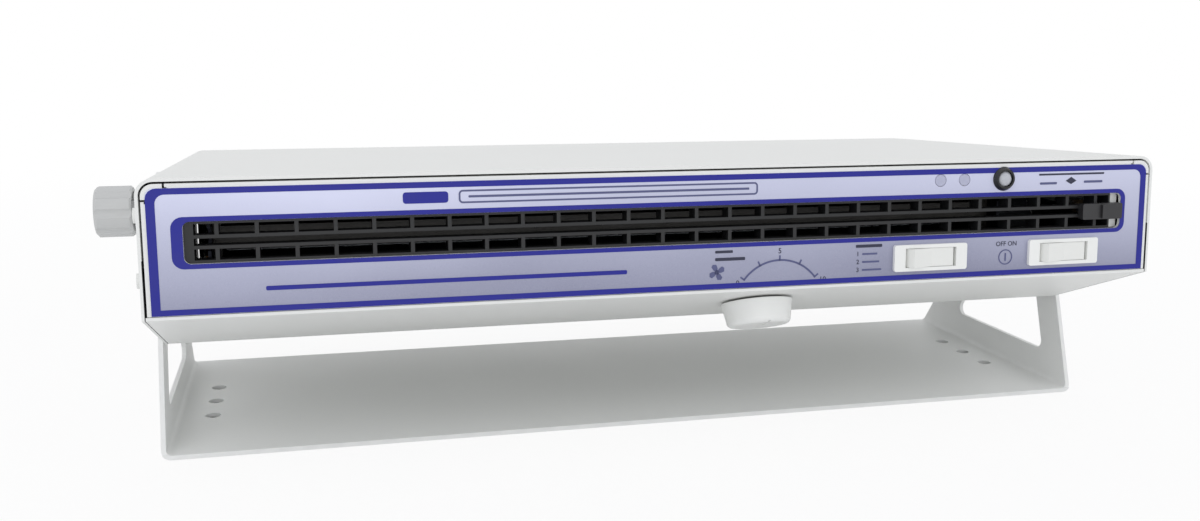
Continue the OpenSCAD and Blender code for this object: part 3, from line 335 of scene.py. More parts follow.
@dataclass(frozen=True)
class Metal(Finish):
    """Bare or plated metal with drawn or turned lines along one axis."""

    metallic: float = 1.0
    along: tuple[float, float, float] = (0.05, 1.0, 1.0)
    tint: Colour | None = None

    def detail(self, graph: Graph, shader: bpy.types.Node, place: bpy.types.NodeSocket) -> None:
        """Adds the drawn lines and the plating's changing tint.

        Args:
            graph: Graph that is being filled.
            shader: Shader of the finish.
            place: Coordinates of the surface.
        """
        patch = self.noise(graph, place, 60.0, 3.0)
        second = self.tint or shaded(self.colour, 0.86)
        graph.tree.links.new(graph.mix(patch, self.colour, second), shader.inputs["Base Color"])
        lines = self.noise(graph, place, 2600.0, 2.0, self.along)
        gloss = graph.ranged(lines, 0.3, 0.7, self.roughness - 0.07, self.roughness + 0.1)
        graph.tree.links.new(gloss, shader.inputs["Roughness"])
        self.bump(graph, shader, lines, 0.004)


@dataclass(frozen=True)
class SilverFilm(Finish):
    """Satin silver film of the front label, with a painted reflection that makes it paler towards
    its upper edge.
    """

    # lower is the darker bottom end of the painted reflection; the film's colour is its paler top
    # end.
    lower: Colour = (0.3, 0.3, 0.4, 1.0)
    bottom_mm: float = 0.0
    top_mm: float = 50.0

    def detail(self, graph: Graph, shader: bpy.types.Node, place: bpy.types.NodeSocket) -> None:
        """Adds the painted reflection, paler towards the upper edge, its soft clouds and the
        film's fine sparkle.

        Args:
            graph: Graph that is being filled.
            shader: Shader of the finish.
            place: Coordinates of the surface.
        """
        height = graph.add("ShaderNodeSeparateXYZ", {0: place}).outputs["Z"]
        # Painted reflection: the colour runs from the lower colour at the bottom edge to the
        # film's colour at the top edge.
        painted_reflection_ramp = graph.ranged(height, self.bottom_mm * MM, self.top_mm * MM)
        cloud = self.noise(graph, place, 14.0, 2.0, (0.6, 1.0, 1.6))
        painted_reflection_with_clouds = graph.maths("ADD", painted_reflection_ramp, graph.ranged(cloud, 0.3, 0.7, -0.12, 0.12))
        tone = graph.mix(graph.ranged(painted_reflection_with_clouds, 0.0, 1.0), self.lower, self.colour)
        sparkle = self.noise(graph, place, 5200.0, 1.0)
        fine = graph.mix(graph.ranged(sparkle, 0.35, 0.65, 0.0, 0.12), tone, srgb(236, 238, 250))
        graph.tree.links.new(fine, shader.inputs["Base Color"])
        gloss = graph.ranged(sparkle, 0.3, 0.7, self.roughness - 0.05, self.roughness + 0.06)
        graph.tree.links.new(gloss, shader.inputs["Roughness"])
        self.bump(graph, shader, sparkle, 0.002)


@dataclass(frozen=True)
class Ink(Finish):
    """Screen-printed ink, a little uneven where the mesh laid it down."""

    def detail(self, graph: Graph, shader: bpy.types.Node, place: bpy.types.NodeSocket) -> None:
        """Adds the uneven lay-down of the ink.

        Args:
            graph: Graph that is being filled.
            shader: Shader of the finish.
            place: Coordinates of the surface.
        """
        self.mottle(graph, shader, place, 120.0, 0.1)
        self.bump(graph, shader, self.noise(graph, place, 3000.0), 0.003)


@dataclass(frozen=True)
class Foam(Finish):
    """Open-cell filter foam: cells painted dark as shade inside them, between paler struts."""

    cell_mm: float = 1.6
    strut: Colour = (0.1, 0.1, 0.11, 1.0)

    def detail(self, graph: Graph, shader: bpy.types.Node, place: bpy.types.NodeSocket) -> None:
        """Adds the cells, with painted shade in them, and their struts.

        Args:
            graph: Graph that is being filled.
            shader: Shader of the finish.
            place: Coordinates of the surface.
        """
        edge = graph.add("ShaderNodeTexVoronoi", {
            "Vector": place, "Scale": 1000 / self.cell_mm}, feature="DISTANCE_TO_EDGE").outputs[0]
        cell_depth_and_shade = graph.ranged(edge, 0.03, 0.22)
        # Painted shade: the open cells take the darker colour; the same share sets the cells'
        # depth.
        tone = graph.mix(cell_depth_and_shade, self.strut, self.colour)
        graph.tree.links.new(tone, shader.inputs["Base Color"])
        self.bump(graph, shader, graph.maths("SUBTRACT", 1.0, cell_depth_and_shade), 0.6)


@dataclass(frozen=True)
class CircuitBoard(Finish):
    """Solder mask over copper tracks."""

    copper: Colour = (0.1, 0.4, 0.12, 1.0)

    def detail(self, graph: Graph, shader: bpy.types.Node, place: bpy.types.NodeSocket) -> None:
        """Adds tracks that show through the mask.

        Args:
            graph: Graph that is being filled.
            shader: Shader of the finish.
            place: Coordinates of the surface.
        """
        cells = graph.add("ShaderNodeTexVoronoi", {"Vector": place, "Scale": 150.0},
                          distance="CHEBYCHEV", feature="DISTANCE_TO_EDGE").outputs[0]
        track = graph.ranged(cells, 0.05, 0.09, 1.0, 0.0)
        graph.tree.links.new(graph.mix(track, self.colour, self.copper),
                             shader.inputs["Base Color"])
        self.bump(graph, shader, track, 0.03)


@dataclass(frozen=True)
class Clear(Finish):
    """Clear or milky plastic that light passes through."""

    passing: float = 0.8
    milk: float = 0.0

    def detail(self, graph: Graph, shader: bpy.types.Node, place: bpy.types.NodeSocket) -> None:
        """Adds the light that passes, and a trace of moulding waviness.

        Args:
            graph: Graph that is being filled.
            shader: Shader of the finish.
            place: Coordinates of the surface.
        """
        shader.inputs["Transmission Weight"].default_value = self.passing
        shader.inputs["IOR"].default_value = 1.49
        shader.inputs["Subsurface Weight"].default_value = self.milk
        shader.inputs["Subsurface Radius"].default_value = (0.002, 0.002, 0.002)
        self.mottle(graph, shader, place, 200.0, 0.05)
        self.bump(graph, shader, self.noise(graph, place, 260.0, 0.0), 0.01)


WHITE_COAT = PowderCoat("white_baked_coat", srgb(235, 236, 233), 0.46)
# The top cover paints shade on its inner side walls, dark below 95 mm.
COVER_COAT = PowderCoat("cover_powder_coat", srgb(235, 236, 233), inner_mm=213.95)
GREY_COAT = PowderCoat("grey_baked_coat", srgb(238, 239, 237), 0.5)
BLUE_INK = Ink("blue_ink", srgb(10, 18, 140), 0.45)
GREY_INK = Ink("grey_ink", srgb(84, 88, 128), 0.42)
DARK_INK = Ink("dark_ink", srgb(40, 42, 66), 0.42)
BLACK_PLASTIC = Moulded("black_plastic", srgb(27, 28, 30), 0.5)
WHITE_PLASTIC = Moulded("white_plastic", srgb(242, 243, 240), 0.32)
GREY_PLASTIC = Moulded("grey_plastic", srgb(200, 201, 200), 0.48, 0.0, 0.5, 0.012)
ZINC = Metal("zinc_plate", srgb(196, 200, 206), 0.34, tint=srgb(204, 202, 178))
BLACK_ZINC = Metal("black_zinc", srgb(44, 46, 50), 0.5, tint=srgb(36, 38, 46))
BLACK_RUBBER = Moulded("black_washer", srgb(30, 30, 31), 0.72, 0.0, 0.6, 0.01)

FINISHES: dict[str, Finish] = {
    "stand_bracket": GREY_COAT, "chassis": WHITE_COAT, "top_cover": COVER_COAT,
    "front_panel": WHITE_COAT, "rear_panel": WHITE_COAT, "filter_retainer": WHITE_COAT,
    "outlet_grille": BLACK_PLASTIC, "grille_end_piece": WHITE_PLASTIC,
    "intake_filter": Foam("filter_foam_finish", srgb(22, 23, 24), 0.9),
    "fan_end_plate_left": BLACK_ZINC, "fan_end_plate_right": BLACK_ZINC,
    "fan_scroll": BLACK_ZINC, "fan_tongue": BLACK_ZINC, "fan_shafts": ZINC,
    "motor_screws": ZINC,
    "fan_rotor": Metal("rotor_aluminium", srgb(176, 180, 184), 0.4),
    "fan_bearing": Metal("sintered_bronze", srgb(164, 124, 72), 0.5, along=(1.0, 1.0, 1.0)),
    "fan_motor": Moulded("motor_enamel", srgb(58, 60, 64), 0.4),
    # The emitter bar's dark colour stands in for the shade inside the outlet duct.
    "emitter_bar": Moulded("emitter_insulator", srgb(52, 50, 46), 0.45),
    "emitter_needles": Metal("tungsten_needle", srgb(168, 170, 176), 0.25, along=(1, 0.05, 1)),
    "high_voltage_supply": Moulded("potted_block", srgb(38, 41, 46), 0.4),
    "control_board": CircuitBoard("solder_mask", srgb(24, 92, 48), 0.35),
    "status_light_board": CircuitBoard("solder_mask", srgb(24, 92, 48), 0.35),
    "board_components": Moulded("component_case", srgb(40, 48, 74), 0.4),
    "board_standoffs": Metal("nickel_brass", srgb(204, 184, 122), 0.3, along=(1, 1, 0.05)),
    "status_lights": Clear("diffused_epoxy", srgb(206, 208, 232), 0.3, passing=0.25, milk=0.3),
    "pilot_lamp_bezel": Moulded("lamp_bezel", srgb(22, 23, 26), 0.24),
    "pilot_lamp_lens": Clear("lamp_lens", srgb(206, 209, 216), 0.12, passing=0.2),
    "mode_switch_body": WHITE_PLASTIC, "power_switch_body": WHITE_PLASTIC,
    "mode_rocker": Moulded("rocker_plastic", srgb(236, 237, 233), 0.3),
    "power_rocker": Moulded("rocker_plastic", srgb(236, 237, 233), 0.3),
    "speed_potentiometer": ZINC, "potentiometer_nut": ZINC, "speed_shaft": ZINC,
    "speed_knob": Moulded("knob_plastic", srgb(240, 241, 238), 0.4),
    "cleaner_carriage": Moulded("carriage_plastic", srgb(42, 42, 44), 0.4),
    "cleaner_brush": Moulded("brush_hair_finish", srgb(94, 80, 56), 0.7),
    "power_inlet": BLACK_PLASTIC, "fuse_holder": BLACK_PLASTIC,
    "ground_terminal": Metal("nickel_brass", srgb(204, 184, 122), 0.3, along=(1, 1, 0.05)),
    "pivot_inserts": ZINC, "spacer_washers": BLACK_RUBBER,
    "clamp_knob_left": GREY_PLASTIC, "clamp_knob_right": GREY_PLASTIC,
    "clamp_stud_left": ZINC, "clamp_stud_right": ZINC,
    "clamp_washer_left": ZINC, "clamp_washer_right": ZINC,
    "cover_screws": WHITE_COAT, "rear_screws": ZINC,
}


class HousingFrame:
    """The tilting housing's own frame: the tilt axis is its origin, +Z is the housing's up."""

    def __init__(self) -> None:
        """Reads the tilt axis and the housing's upright direction from the joints."""
        joints = {joint["name"]: joint for joint in frame["joints"]}
        up = Vector(joints["mode_rock"]["axis"]).normalized()
        side = Vector((1, 0, 0))
        back = up.cross(side)
        turn = Matrix((side, back, up)).transposed().to_4x4()
        self.to_world = Matrix.Translation(Vector(joints["tilt"]["pos_m"])) @ turn
        self.from_world = self.to_world.inverted()

    def extent(self, node: str) -> tuple[Vector, Vector]:
        """Lowest and highest corners of a CAD node in the housing's frame.

        Args:
            node: Name of the node.

        Returns:
            Two corners, in millimetres.
        """
        points = [self.from_world @ vertex.co for vertex in frame["nodes"][node].data.vertices]
        low = Vector([min(point[i] for point in points) / MM for i in range(3)])
        high = Vector([max(point[i] for point in points) / MM for i in range(3)])
        return low, high


class Ride(Enum):
    """The bodies that pieces ride on."""

    HOUSING = "housing"
    CLEANER = "cleaner"


@dataclass
class Outline:
    """Flat shapes in one plane, gathered into one thin mesh; sizes are in millimetres."""

    verts: list[tuple[float, float, float]] = field(default_factory=list)
    faces: list[list[int]] = field(default_factory=list)
    thick: float = 0.05

    def plate(self, points: list[Point2]) -> None:
        """Adds a solid shape.

        Args:
            points: Its corners, in order.
        """
        self.strip(points, [self.middle(points)] * len(points))

    @staticmethod
    def middle(points: list[Point2]) -> Point2:
        """Mean of the points."""
        return (sum(p[0] for p in points) / len(points), sum(p[1] for p in points) / len(points))

    def strip(self, outer: list[Point2], inner: list[Point2], closed: bool = True) -> None:
        """Adds a band between two lines of as many points.

        Args:
            outer: Points of the outer line.
            inner: Points of the inner line.
            closed: Whether the band runs round and meets itself.
        """
        count = len(outer)
        base = len(self.verts)
        for depth in (0.0, -self.thick):
            self.verts += [(x, depth, z) for x, z in (*outer, *inner)]
        low = base + 2 * count
        for i in range(count if closed else count - 1):
            j = (i + 1) % count
            a, b, c, d = base + i, base + j, base + count + j, base + count + i
            self.faces.append([a, b, c, d])
            lower = [index - base + low for index in (a, b, c, d)]
            self.faces.append(lower[::-1])
            self.faces.append([b, a, lower[0], lower[1]])
            self.faces.append([d, c, lower[2], lower[3]])
        if not closed:
            for i in (0, count - 1):
                self.faces.append([base + i, base + count + i, low + count + i, low + i])

    def mesh(self, name: str) -> bpy.types.Mesh:
        """Turns the shapes into a mesh with closed, outward faces.

        Args:
            name: Name of the mesh.

        Returns:
            The mesh, in millimetres.
        """
        made = bpy.data.meshes.new(name)
        made.from_pydata(self.verts, [], self.faces)
        return tidied(made)


def tidied(mesh: bpy.types.Mesh, gap: float = 1e-5) -> bpy.types.Mesh:
    """Merges a mesh's doubles, drops its empty faces and turns the rest outwards.

    Args:
        mesh: Mesh to clean.
        gap: Distance under which points are one.

    Returns:
        The same mesh.
    """
    work = bmesh.new()
    work.from_mesh(mesh)
    bmesh.ops.remove_doubles(work, verts=work.verts, dist=gap)
    bmesh.ops.dissolve_degenerate(work, edges=work.edges, dist=gap)
    bmesh.ops.recalc_face_normals(work, faces=work.faces)
    work.to_mesh(mesh)
    work.free()
    return mesh


def rounded(x0: float, z0: float, x1: float, z1: float, radius: float | list[float],
            steps: int = 6) -> list[Point2]:
    """Corners of a rounded rectangle.

    Args:
        x0: Left side.
        z0: Lower side.
        x1: Right side.
        z1: Upper side.
        radius: One radius, or one each for lower left, lower right, upper right, upper left.
        steps: Points in each corner, less one.

    Returns:
        The points, counter-clockwise.
    """
    radii = radius if isinstance(radius, list) else [radius] * 4
    corners = [(x0, z0, 1, 1), (x1, z0, -1, 1), (x1, z1, -1, -1), (x0, z1, 1, -1)]
    points = []
    for index, ((x, z, dx, dz), r) in enumerate(zip(corners, radii)):
        for step in range(steps + 1):
            angle = math.radians(180 + 90 * index + 90 * step / steps)
            points.append((x + dx * r + r * math.cos(angle), z + dz * r + r * math.sin(angle)))
    return points


def arc(x: float, z: float, radius: float, start: float, end: float,
        steps: int = 48) -> list[Point2]:
    """Points on an arc, with its angles in degrees counter-clockwise from +X.

    Args:
        x: Centre.
        z: Centre.
        radius: Radius.
        start: First angle.
        end: Last angle.
        steps: Number of equal parts.

    Returns:
        The points.
    """
    angles = [math.radians(start + (end - start) * i / steps) for i in range(steps + 1)]
    return [(x + radius * math.cos(a), z + radius * math.sin(a)) for a in angles]


def piece(name: str, mesh: bpy.types.Mesh, finish: Finish,
          body: Ride) -> bpy.types.Object:
    """Puts a finished mesh into the scene.

    Args:
        name: Name of the piece.
        mesh: Its mesh, in place and in metres.
        finish: Its finish.
        body: Body that it rides on.

    Returns:
        The new object.
    """
    made = bpy.data.objects.new(name, mesh)
    bpy.context.scene.collection.objects.link(made)
    mesh.materials.clear()
    mesh.materials.append(finish.material())
    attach(made, body.value)
    LOG.info("%s: %d faces, rides on %s", name, len(mesh.polygons), body.value)
    return made


@dataclass(frozen=True)
class Rule:
    """A straight printed line; its height is that above the face's lower edge."""

    left: float
    right: float
    height: float
    tall: float
    corner_share: ClassVar[float] = 0.3
    corner_steps: ClassVar[int] = 3


@dataclass(frozen=True)
class Field:
    """A plain printed field: filled, or a frame where it has a line's thickness."""

    left: float
    foot: float
    right: float
    top: float
    corner: float
    line: float = 0.0


# The label's layout in millimetres: x from the middle, heights from the face's lower edge.
NAME_BAR = Field(-118.7, 40.6, -101.3, 45.0, 1.2)
NAME_FRAME = Field(-97.3, 40.2, 25.9, 45.4, 1.6, line=0.7)
NAME_RULE = Rule(-93.5, 22.1, 42.8, 0.9)
MODEL_RULE = Rule(-170.4, -30.0, 10.4, 1.7)
FAN_CENTRE, FAN_TURN, FAN_HUB = (8.3, 8.6), 20.0, 1.1
FAN_BLADE = [(0.0, 0.0), (0.9, 1.5), (0.8, 3.1), (-0.6, 3.6), (-1.5, 2.9), (-1.1, 1.3)]
FAN_RULES = (Rule(7.5, 15.2, 17.0, 1.1), Rule(7.5, 20.6, 13.9, 1.3))
DIAL_ANGLES = (38, 64, 90, 116, 142)
DIAL_FIGURES = (("0", -18.6, 3.6), ("5", 0.0, 16.4), ("10", 19.4, 3.6))
DIAL_CAPITAL = 2.2
MODE_HEADING = Rule(70.4, 82.6, 17.0, 1.3)
MODE_RULES = tuple(Rule(73.4, 80.4 + i, 13.6 - 3.4 * i, 0.8) for i in range(3))
MODE_FIGURE_X, MODE_CAPITAL = 71.4, 1.9
POWER_CENTRE, POWER_RADII, POWER_STROKE = (141.9, 9.6), (3.4, 2.9), (0.35, 1.8)
POWER_WORDS = (142.2, 15.4, 2.0)
CLEANER_HEADING = Rule(157.0, 189.7, 45.3, 0.8)
CLEANER_CENTRE, CLEANER_DIAMOND = (173.1, 42.3), (2.7, 1.5, 1.7)
CLEANER_RULES = (Rule(157.6, 166.0, 41.4, 1.0), Rule(179.6, 189.0, 41.7, 1.0))


@dataclass
class FrontPrint:
    """The label's printing: blue bands, dial scale and plain marks.

    Sizes are in millimetres; sideways places run from the right side of the housing, and heights
    from the lower edge of the face.
    """

    housing: HousingFrame
    side_band: float = 3.3
    top_band: float = 2.3
    foot_band: float = 2.2
    slot_band: float = 1.8
    slot_left_band: float = 4.2
    slot_right_band: float = 2.2
    slot_corner: float = 4.3
    face_drop: float = 1.4
    sharp_corner: float = 0.01
    edge_corner: float = 4.0
    edge_inner_corner: float = 3.4
    right_trim: float = 0.5
    slot_play: float = 0.02
    slot_hole_corner: float = 2.5
    end_margin_x: float = 0.1
    end_margin_z: float = 0.2
    dial_drop: float = 7.4
    dial_outer: float = 20.4
    dial_inner: float = 19.6
    tick_end: float = 22.0
    tick_half: float = 0.35
    lift: float = 0.06
    blue: Outline = field(default_factory=Outline)
    grey: Outline = field(default_factory=Outline)
    dark: Outline = field(default_factory=Outline)

    def __post_init__(self) -> None:
        """Reads the label's and the opening's place from the frame."""
        low, high = self.housing.extent("front_label")
        panel_low, _ = self.housing.extent("front_panel")
        self.left, self.right = low.x, high.x
        self.foot, self.top = low.z, high.z
        self.face_y = low.y - self.lift
        self.base = panel_low.z - self.face_drop
        knob_low, knob_high = self.housing.extent("speed_knob")
        self.dial_x = (knob_low.x + knob_high.x) / 2
        end_low, end_high = self.housing.extent("grille_end_piece")
        self.slot_x1 = end_high.x + self.end_margin_x
        self.slot_x0 = -self.slot_x1
        self.slot_z0 = end_low.z - self.end_margin_z
        self.slot_z1 = end_high.z + self.end_margin_z

    def up(self, height: float) -> float:
        """Height in the housing's frame of a height above the face's lower edge."""
        return self.base + height

    def bands(self) -> None:
        """Draws the blue band along the label's edges and the one around the outlet."""
        corners = [self.sharp_corner, self.sharp_corner, self.edge_corner, self.edge_corner]
        edge = rounded(self.left, self.foot, self.right, self.top, corners)
        corners[2:] = [self.edge_inner_corner, self.edge_inner_corner]
        inner = rounded(self.left + self.side_band, self.foot + self.foot_band,
                        self.right - self.side_band + self.right_trim,
                        self.top - self.top_band, corners)
        self.blue.strip(edge, inner)
        outer = rounded(self.slot_x0 - self.slot_left_band, self.slot_z0 - self.slot_band,
                        self.slot_x1 + self.slot_right_band, self.slot_z1 + self.slot_band,
                        self.slot_corner)
        hole = rounded(self.slot_x0 - self.slot_play, self.slot_z0 - self.slot_play,
                       self.slot_x1 + self.slot_play, self.slot_z1 + self.slot_play,
                       self.slot_hole_corner)
        self.blue.strip(outer, hole)

    def rules(self, ink: Outline, *rules: Rule) -> None:
        """Draws straight printed lines.

        Args:
            ink: Ink to draw with.
            *rules: The lines.
        """
        for rule in rules:
            middle, half = self.up(rule.height), rule.tall / 2
            ink.plate(rounded(rule.left, middle - half, rule.right, middle + half,
                              rule.tall * Rule.corner_share, Rule.corner_steps))

    def name_field(self) -> None:
        """Draws the plain stripes where a maker would print a name."""
        for ink, field_ in ((self.blue, NAME_BAR), (self.grey, NAME_FRAME)):
            outer = rounded(field_.left, self.up(field_.foot), field_.right,
                            self.up(field_.top), field_.corner)
            if not field_.line:
                ink.plate(outer)
                continue
            inner = rounded(field_.left + field_.line, self.up(field_.foot + field_.line),
                            field_.right - field_.line, self.up(field_.top - field_.line),
                            field_.corner - field_.line)
            ink.strip(outer, inner)
        self.rules(self.grey, NAME_RULE)
        self.rules(self.blue, MODEL_RULE)

    def dial(self) -> None:
        """Draws the speed scale above the knob: an arc and its marks."""
        x, z = self.dial_x, self.up(-self.dial_drop)
        first, last = DIAL_ANGLES[0], DIAL_ANGLES[-1]
        self.grey.strip(arc(x, z, self.dial_outer, first, last),
                        arc(x, z, self.dial_inner, first, last), closed=False)
        for angle in DIAL_ANGLES:
            turn = math.radians(angle)
            ray = Vector((math.cos(turn), math.sin(turn)))
            across = Vector((-ray.y, ray.x)) * self.tick_half
            near, far = ray * self.dial_inner, ray * self.tick_end
            corners = [near - across, far - across, far + across, near + across]
            self.grey.plate([(x + c.x, z + c.y) for c in corners])

    def fan_symbol(self) -> None:
        """Draws a four-bladed fan and the two plain lines over it."""
        x, z = FAN_CENTRE[0], self.up(FAN_CENTRE[1])
        for blade in range(4):
            a = math.radians(90 * blade + FAN_TURN)
            self.grey.plate([(x + p * math.cos(a) - q * math.sin(a),
                              z + p * math.sin(a) + q * math.cos(a)) for p, q in FAN_BLADE])
        self.grey.plate(arc(x, z, FAN_HUB, 0, 360, 16)[:-1])
        self.rules(self.dark, *FAN_RULES)

    def power_symbol(self) -> None:
        """Draws a circle with an upright stroke."""
        x, z = POWER_CENTRE[0], self.up(POWER_CENTRE[1])
        rings = [arc(x, z, radius, 0, 360, 40)[:-1] for radius in POWER_RADII]
        self.grey.strip(*rings)
        half, high = POWER_STROKE
        self.grey.plate(rounded(x - half, z - high, x + half, z + high, 0.3, 3))

    def cleaner_marks(self) -> None:
        """Draws the marks of the point cleaner: a heading, two lines and a diamond."""
        self.rules(self.dark, CLEANER_HEADING)
        x, z = CLEANER_CENTRE[0], self.up(CLEANER_CENTRE[1])
        wide, low, high = CLEANER_DIAMOND
        self.dark.plate([(x - wide, z), (x, z - low), (x + wide, z), (x, z + high)])
        self.rules(self.grey, *CLEANER_RULES)

    def text(self, words: str, x: float, z: float, tall: float) -> bpy.types.Mesh:
        """Sets plain figures or ON and OFF in the label's plane.

        Args:
            words: What to write.
            x: Middle of the words.
            z: Height of their middle above the face's lower edge.
            tall: Height of a capital.

        Returns:
            The lettering's mesh, in the housing's frame and in millimetres.
        """
        curve = bpy.data.curves.new("lettering", "FONT")
        curve.body = words
        curve.size = tall / 0.7
        curve.align_x = "CENTER"
        curve.align_y = "CENTER"
        curve.extrude = 0.025
        curve.offset = 0.03
        curve.resolution_u = 3
        carrier = bpy.data.objects.new("lettering", curve)
        bpy.context.scene.collection.objects.link(carrier)
        graph = bpy.context.evaluated_depsgraph_get()
        mesh = bpy.data.meshes.new_from_object(carrier.evaluated_get(graph))
        bpy.data.objects.remove(carrier)
        bpy.data.curves.remove(curve)
        upright = Matrix.Rotation(math.radians(90), 4, "X")
        mesh.transform(Matrix.Translation((x, 0, self.up(z))) @ upright)
        return mesh

    def build(self) -> None:
        """Makes one piece for each ink."""
        self.bands()
        self.name_field()
        self.dial()
        self.fan_symbol()
        self.rules(self.dark, MODE_HEADING)
        self.rules(self.grey, *MODE_RULES)
        self.power_symbol()
        self.cleaner_marks()
        words = [self.text(figure, self.dial_x + aside, height, DIAL_CAPITAL)
                 for figure, aside, height in DIAL_FIGURES]
        words.append(self.text("OFF ON", *POWER_WORDS))
        words += [self.text(str(number), MODE_FIGURE_X, rule.height, MODE_CAPITAL)
                  for number, rule in enumerate(MODE_RULES, 1)]
        place = self.housing.to_world @ Matrix.Scale(MM, 4)
        place = place @ Matrix.Translation((0, self.face_y, 0))
        inks = [("print_blue", self.blue, BLUE_INK, []), ("print_grey", self.grey, GREY_INK, []),
                ("print_dark", self.dark, DARK_INK, words)]
        for name, outline, ink, lettering in inks:
            mesh = outline.mesh(name)
            for extra in lettering:
                mesh = joined(mesh, extra)
            mesh.transform(place)
            piece(name, mesh, ink, Ride.HOUSING)


def joined(first: bpy.types.Mesh, second: bpy.types.Mesh) -> bpy.types.Mesh:
    """Adds one mesh to another.

    Args:
        first: Mesh that grows.
        second: Mesh that is added and then removed.

    Returns:
        The first mesh.
    """
    work = bmesh.new()
    work.from_mesh(first)
    work.from_mesh(second)
    work.to_mesh(first)
    work.free()
    bpy.data.meshes.remove(second)
    return first


Spot = tuple[Vector, Vector]
RECESS_SIZES = {"Length": 2.9, "Width": 0.65, "Depth": 0.1}
HAIR_RADII = {"Root": 0.16, "Tip": 0.1}
HAIR_LEAN = 0.07


@dataclass
class Repeated:
    """One small part set at many spots by a Geometry Nodes tree.

    Spots hold a place and a way to face in the housing's frame; sizes are in millimetres.
    """

    name: str
    housing: HousingFrame
    spots: list[Spot]
    sizes: dict[str, float]
    lean: float = 0.0
    seed: int = 7

    def part(self, graph: Graph, sizes: dict[str, bpy.types.NodeSocket]) -> bpy.types.NodeSocket:
        """Adds the nodes that make one part.

        Args:
            graph: Graph that is being filled.
            sizes: The tree's named inputs.

        Returns:
            The part's geometry.
        """
        raise NotImplementedError

    def tree(self, finish: Finish) -> tuple[bpy.types.NodeTree, dict[str, str]]:
        """Builds the tree.

        Args:
            finish: Finish of the part.

        Returns:
            The tree, and the identifier of each named input.
        """
        tree = bpy.data.node_groups.new(self.name, "GeometryNodeTree")
        face = tree.interface
        face.new_socket("Spots", in_out="INPUT", socket_type="NodeSocketGeometry")
        face.new_socket("Parts", in_out="OUTPUT", socket_type="NodeSocketGeometry")
        keys = {title: face.new_socket(title, in_out="INPUT",
                                       socket_type="NodeSocketFloat").identifier
                for title in self.sizes}
        graph = Graph(tree)
        source = graph.add("NodeGroupInput").outputs
        part = self.part(graph, {title: source[title] for title in self.sizes})
        way = graph.add("GeometryNodeInputNamedAttribute", {"Name": "way"},
                        data_type="FLOAT_VECTOR")
        turn = graph.add("FunctionNodeAlignRotationToVector", {"Vector": way.outputs[0]},
                         axis="Z")
        most = Vector((self.lean, self.lean, self.lean))
        lean = graph.add("FunctionNodeRandomValue", {0: -most, 1: most, "Seed": self.seed},
                         data_type="FLOAT_VECTOR")
        turned = graph.add("FunctionNodeRotateRotation", {
            "Rotation": turn.outputs[0], "Rotate By": lean.outputs[0]}, rotation_space="LOCAL")
        held = graph.add("GeometryNodeInstanceOnPoints", {
            "Points": source["Spots"], "Instance": part, "Rotation": turned.outputs[0]})
        real = graph.add("GeometryNodeRealizeInstances", {"Geometry": held.outputs[0]})
        dressed = graph.add("GeometryNodeSetMaterial", {
            "Geometry": real.outputs[0], "Material": finish.material()})
        graph.add("NodeGroupOutput", {"Parts": dressed.outputs[0]})
        return tree, keys

    def build(self, finish: Finish, slot: str, body: Ride) -> bpy.types.Object:
        """Makes the parts as one piece.

        Args:
            finish: Finish of the part.
            slot: Not used.
            body: Body that the parts ride on.

        Returns:
            The new object.
        """
        place = self.housing.to_world
        mesh = bpy.data.meshes.new(self.name + "_spots")
        mesh.from_pydata([place @ (spot * MM) for spot, _ in self.spots], [], [])
        ways = mesh.attributes.new("way", "FLOAT_VECTOR", "POINT")
        for entry, (_, way) in zip(ways.data, self.spots):
            entry.vector = place.to_3x3() @ way
        holder = bpy.data.objects.new(self.name + "_spots", mesh)
        bpy.context.scene.collection.objects.link(holder)
        tree, keys = self.tree(finish)
        modifier = holder.modifiers.new("parts", "NODES")
        modifier.node_group = tree
        for title, size in self.sizes.items():
            modifier[keys[title]] = size * MM
        seen = holder.evaluated_get(bpy.context.evaluated_depsgraph_get())
        made = bpy.data.meshes.new_from_object(seen)
        holder.modifiers.remove(modifier)
        bpy.data.objects.remove(holder)
        return piece(self.name, tidied(made), finish, body)


class CrossRecesses(Repeated):
    """Cross recesses in the screws' heads."""

    def part(self, graph: Graph, sizes: dict[str, bpy.types.NodeSocket]) -> bpy.types.NodeSocket:
        """Makes two crossed bars.

        Args:
            graph: Graph that is being filled.
            sizes: Inputs named Length, Width and Depth.

        Returns:
            The part's geometry.
        """
        both = graph.add("GeometryNodeJoinGeometry")
        for first, second in (("Length", "Width"), ("Width", "Length")):
            size = graph.add("ShaderNodeCombineXYZ", {
                "X": sizes[first], "Y": sizes[second], "Z": sizes["Depth"]})
            bar = graph.add("GeometryNodeMeshCube", {"Size": size.outputs[0]})
            graph.tree.links.new(bar.outputs[0], both.inputs[0])
        return both.outputs[0]


class Bristles(Repeated):
    """Hairs of the point cleaner's brush."""

    def part(self, graph: Graph, sizes: dict[str, bpy.types.NodeSocket]) -> bpy.types.NodeSocket:
        """Makes one tapered hair.

        Args:
            graph: Graph that is being filled.
            sizes: Inputs named Length, Root and Tip.

        Returns:
            The part's geometry.
        """
        hair = graph.add("GeometryNodeMeshCone", {
            "Vertices": 5, "Radius Top": sizes["Tip"], "Radius Bottom": sizes["Root"],
            "Depth": sizes["Length"]})
        return hair.outputs[0]


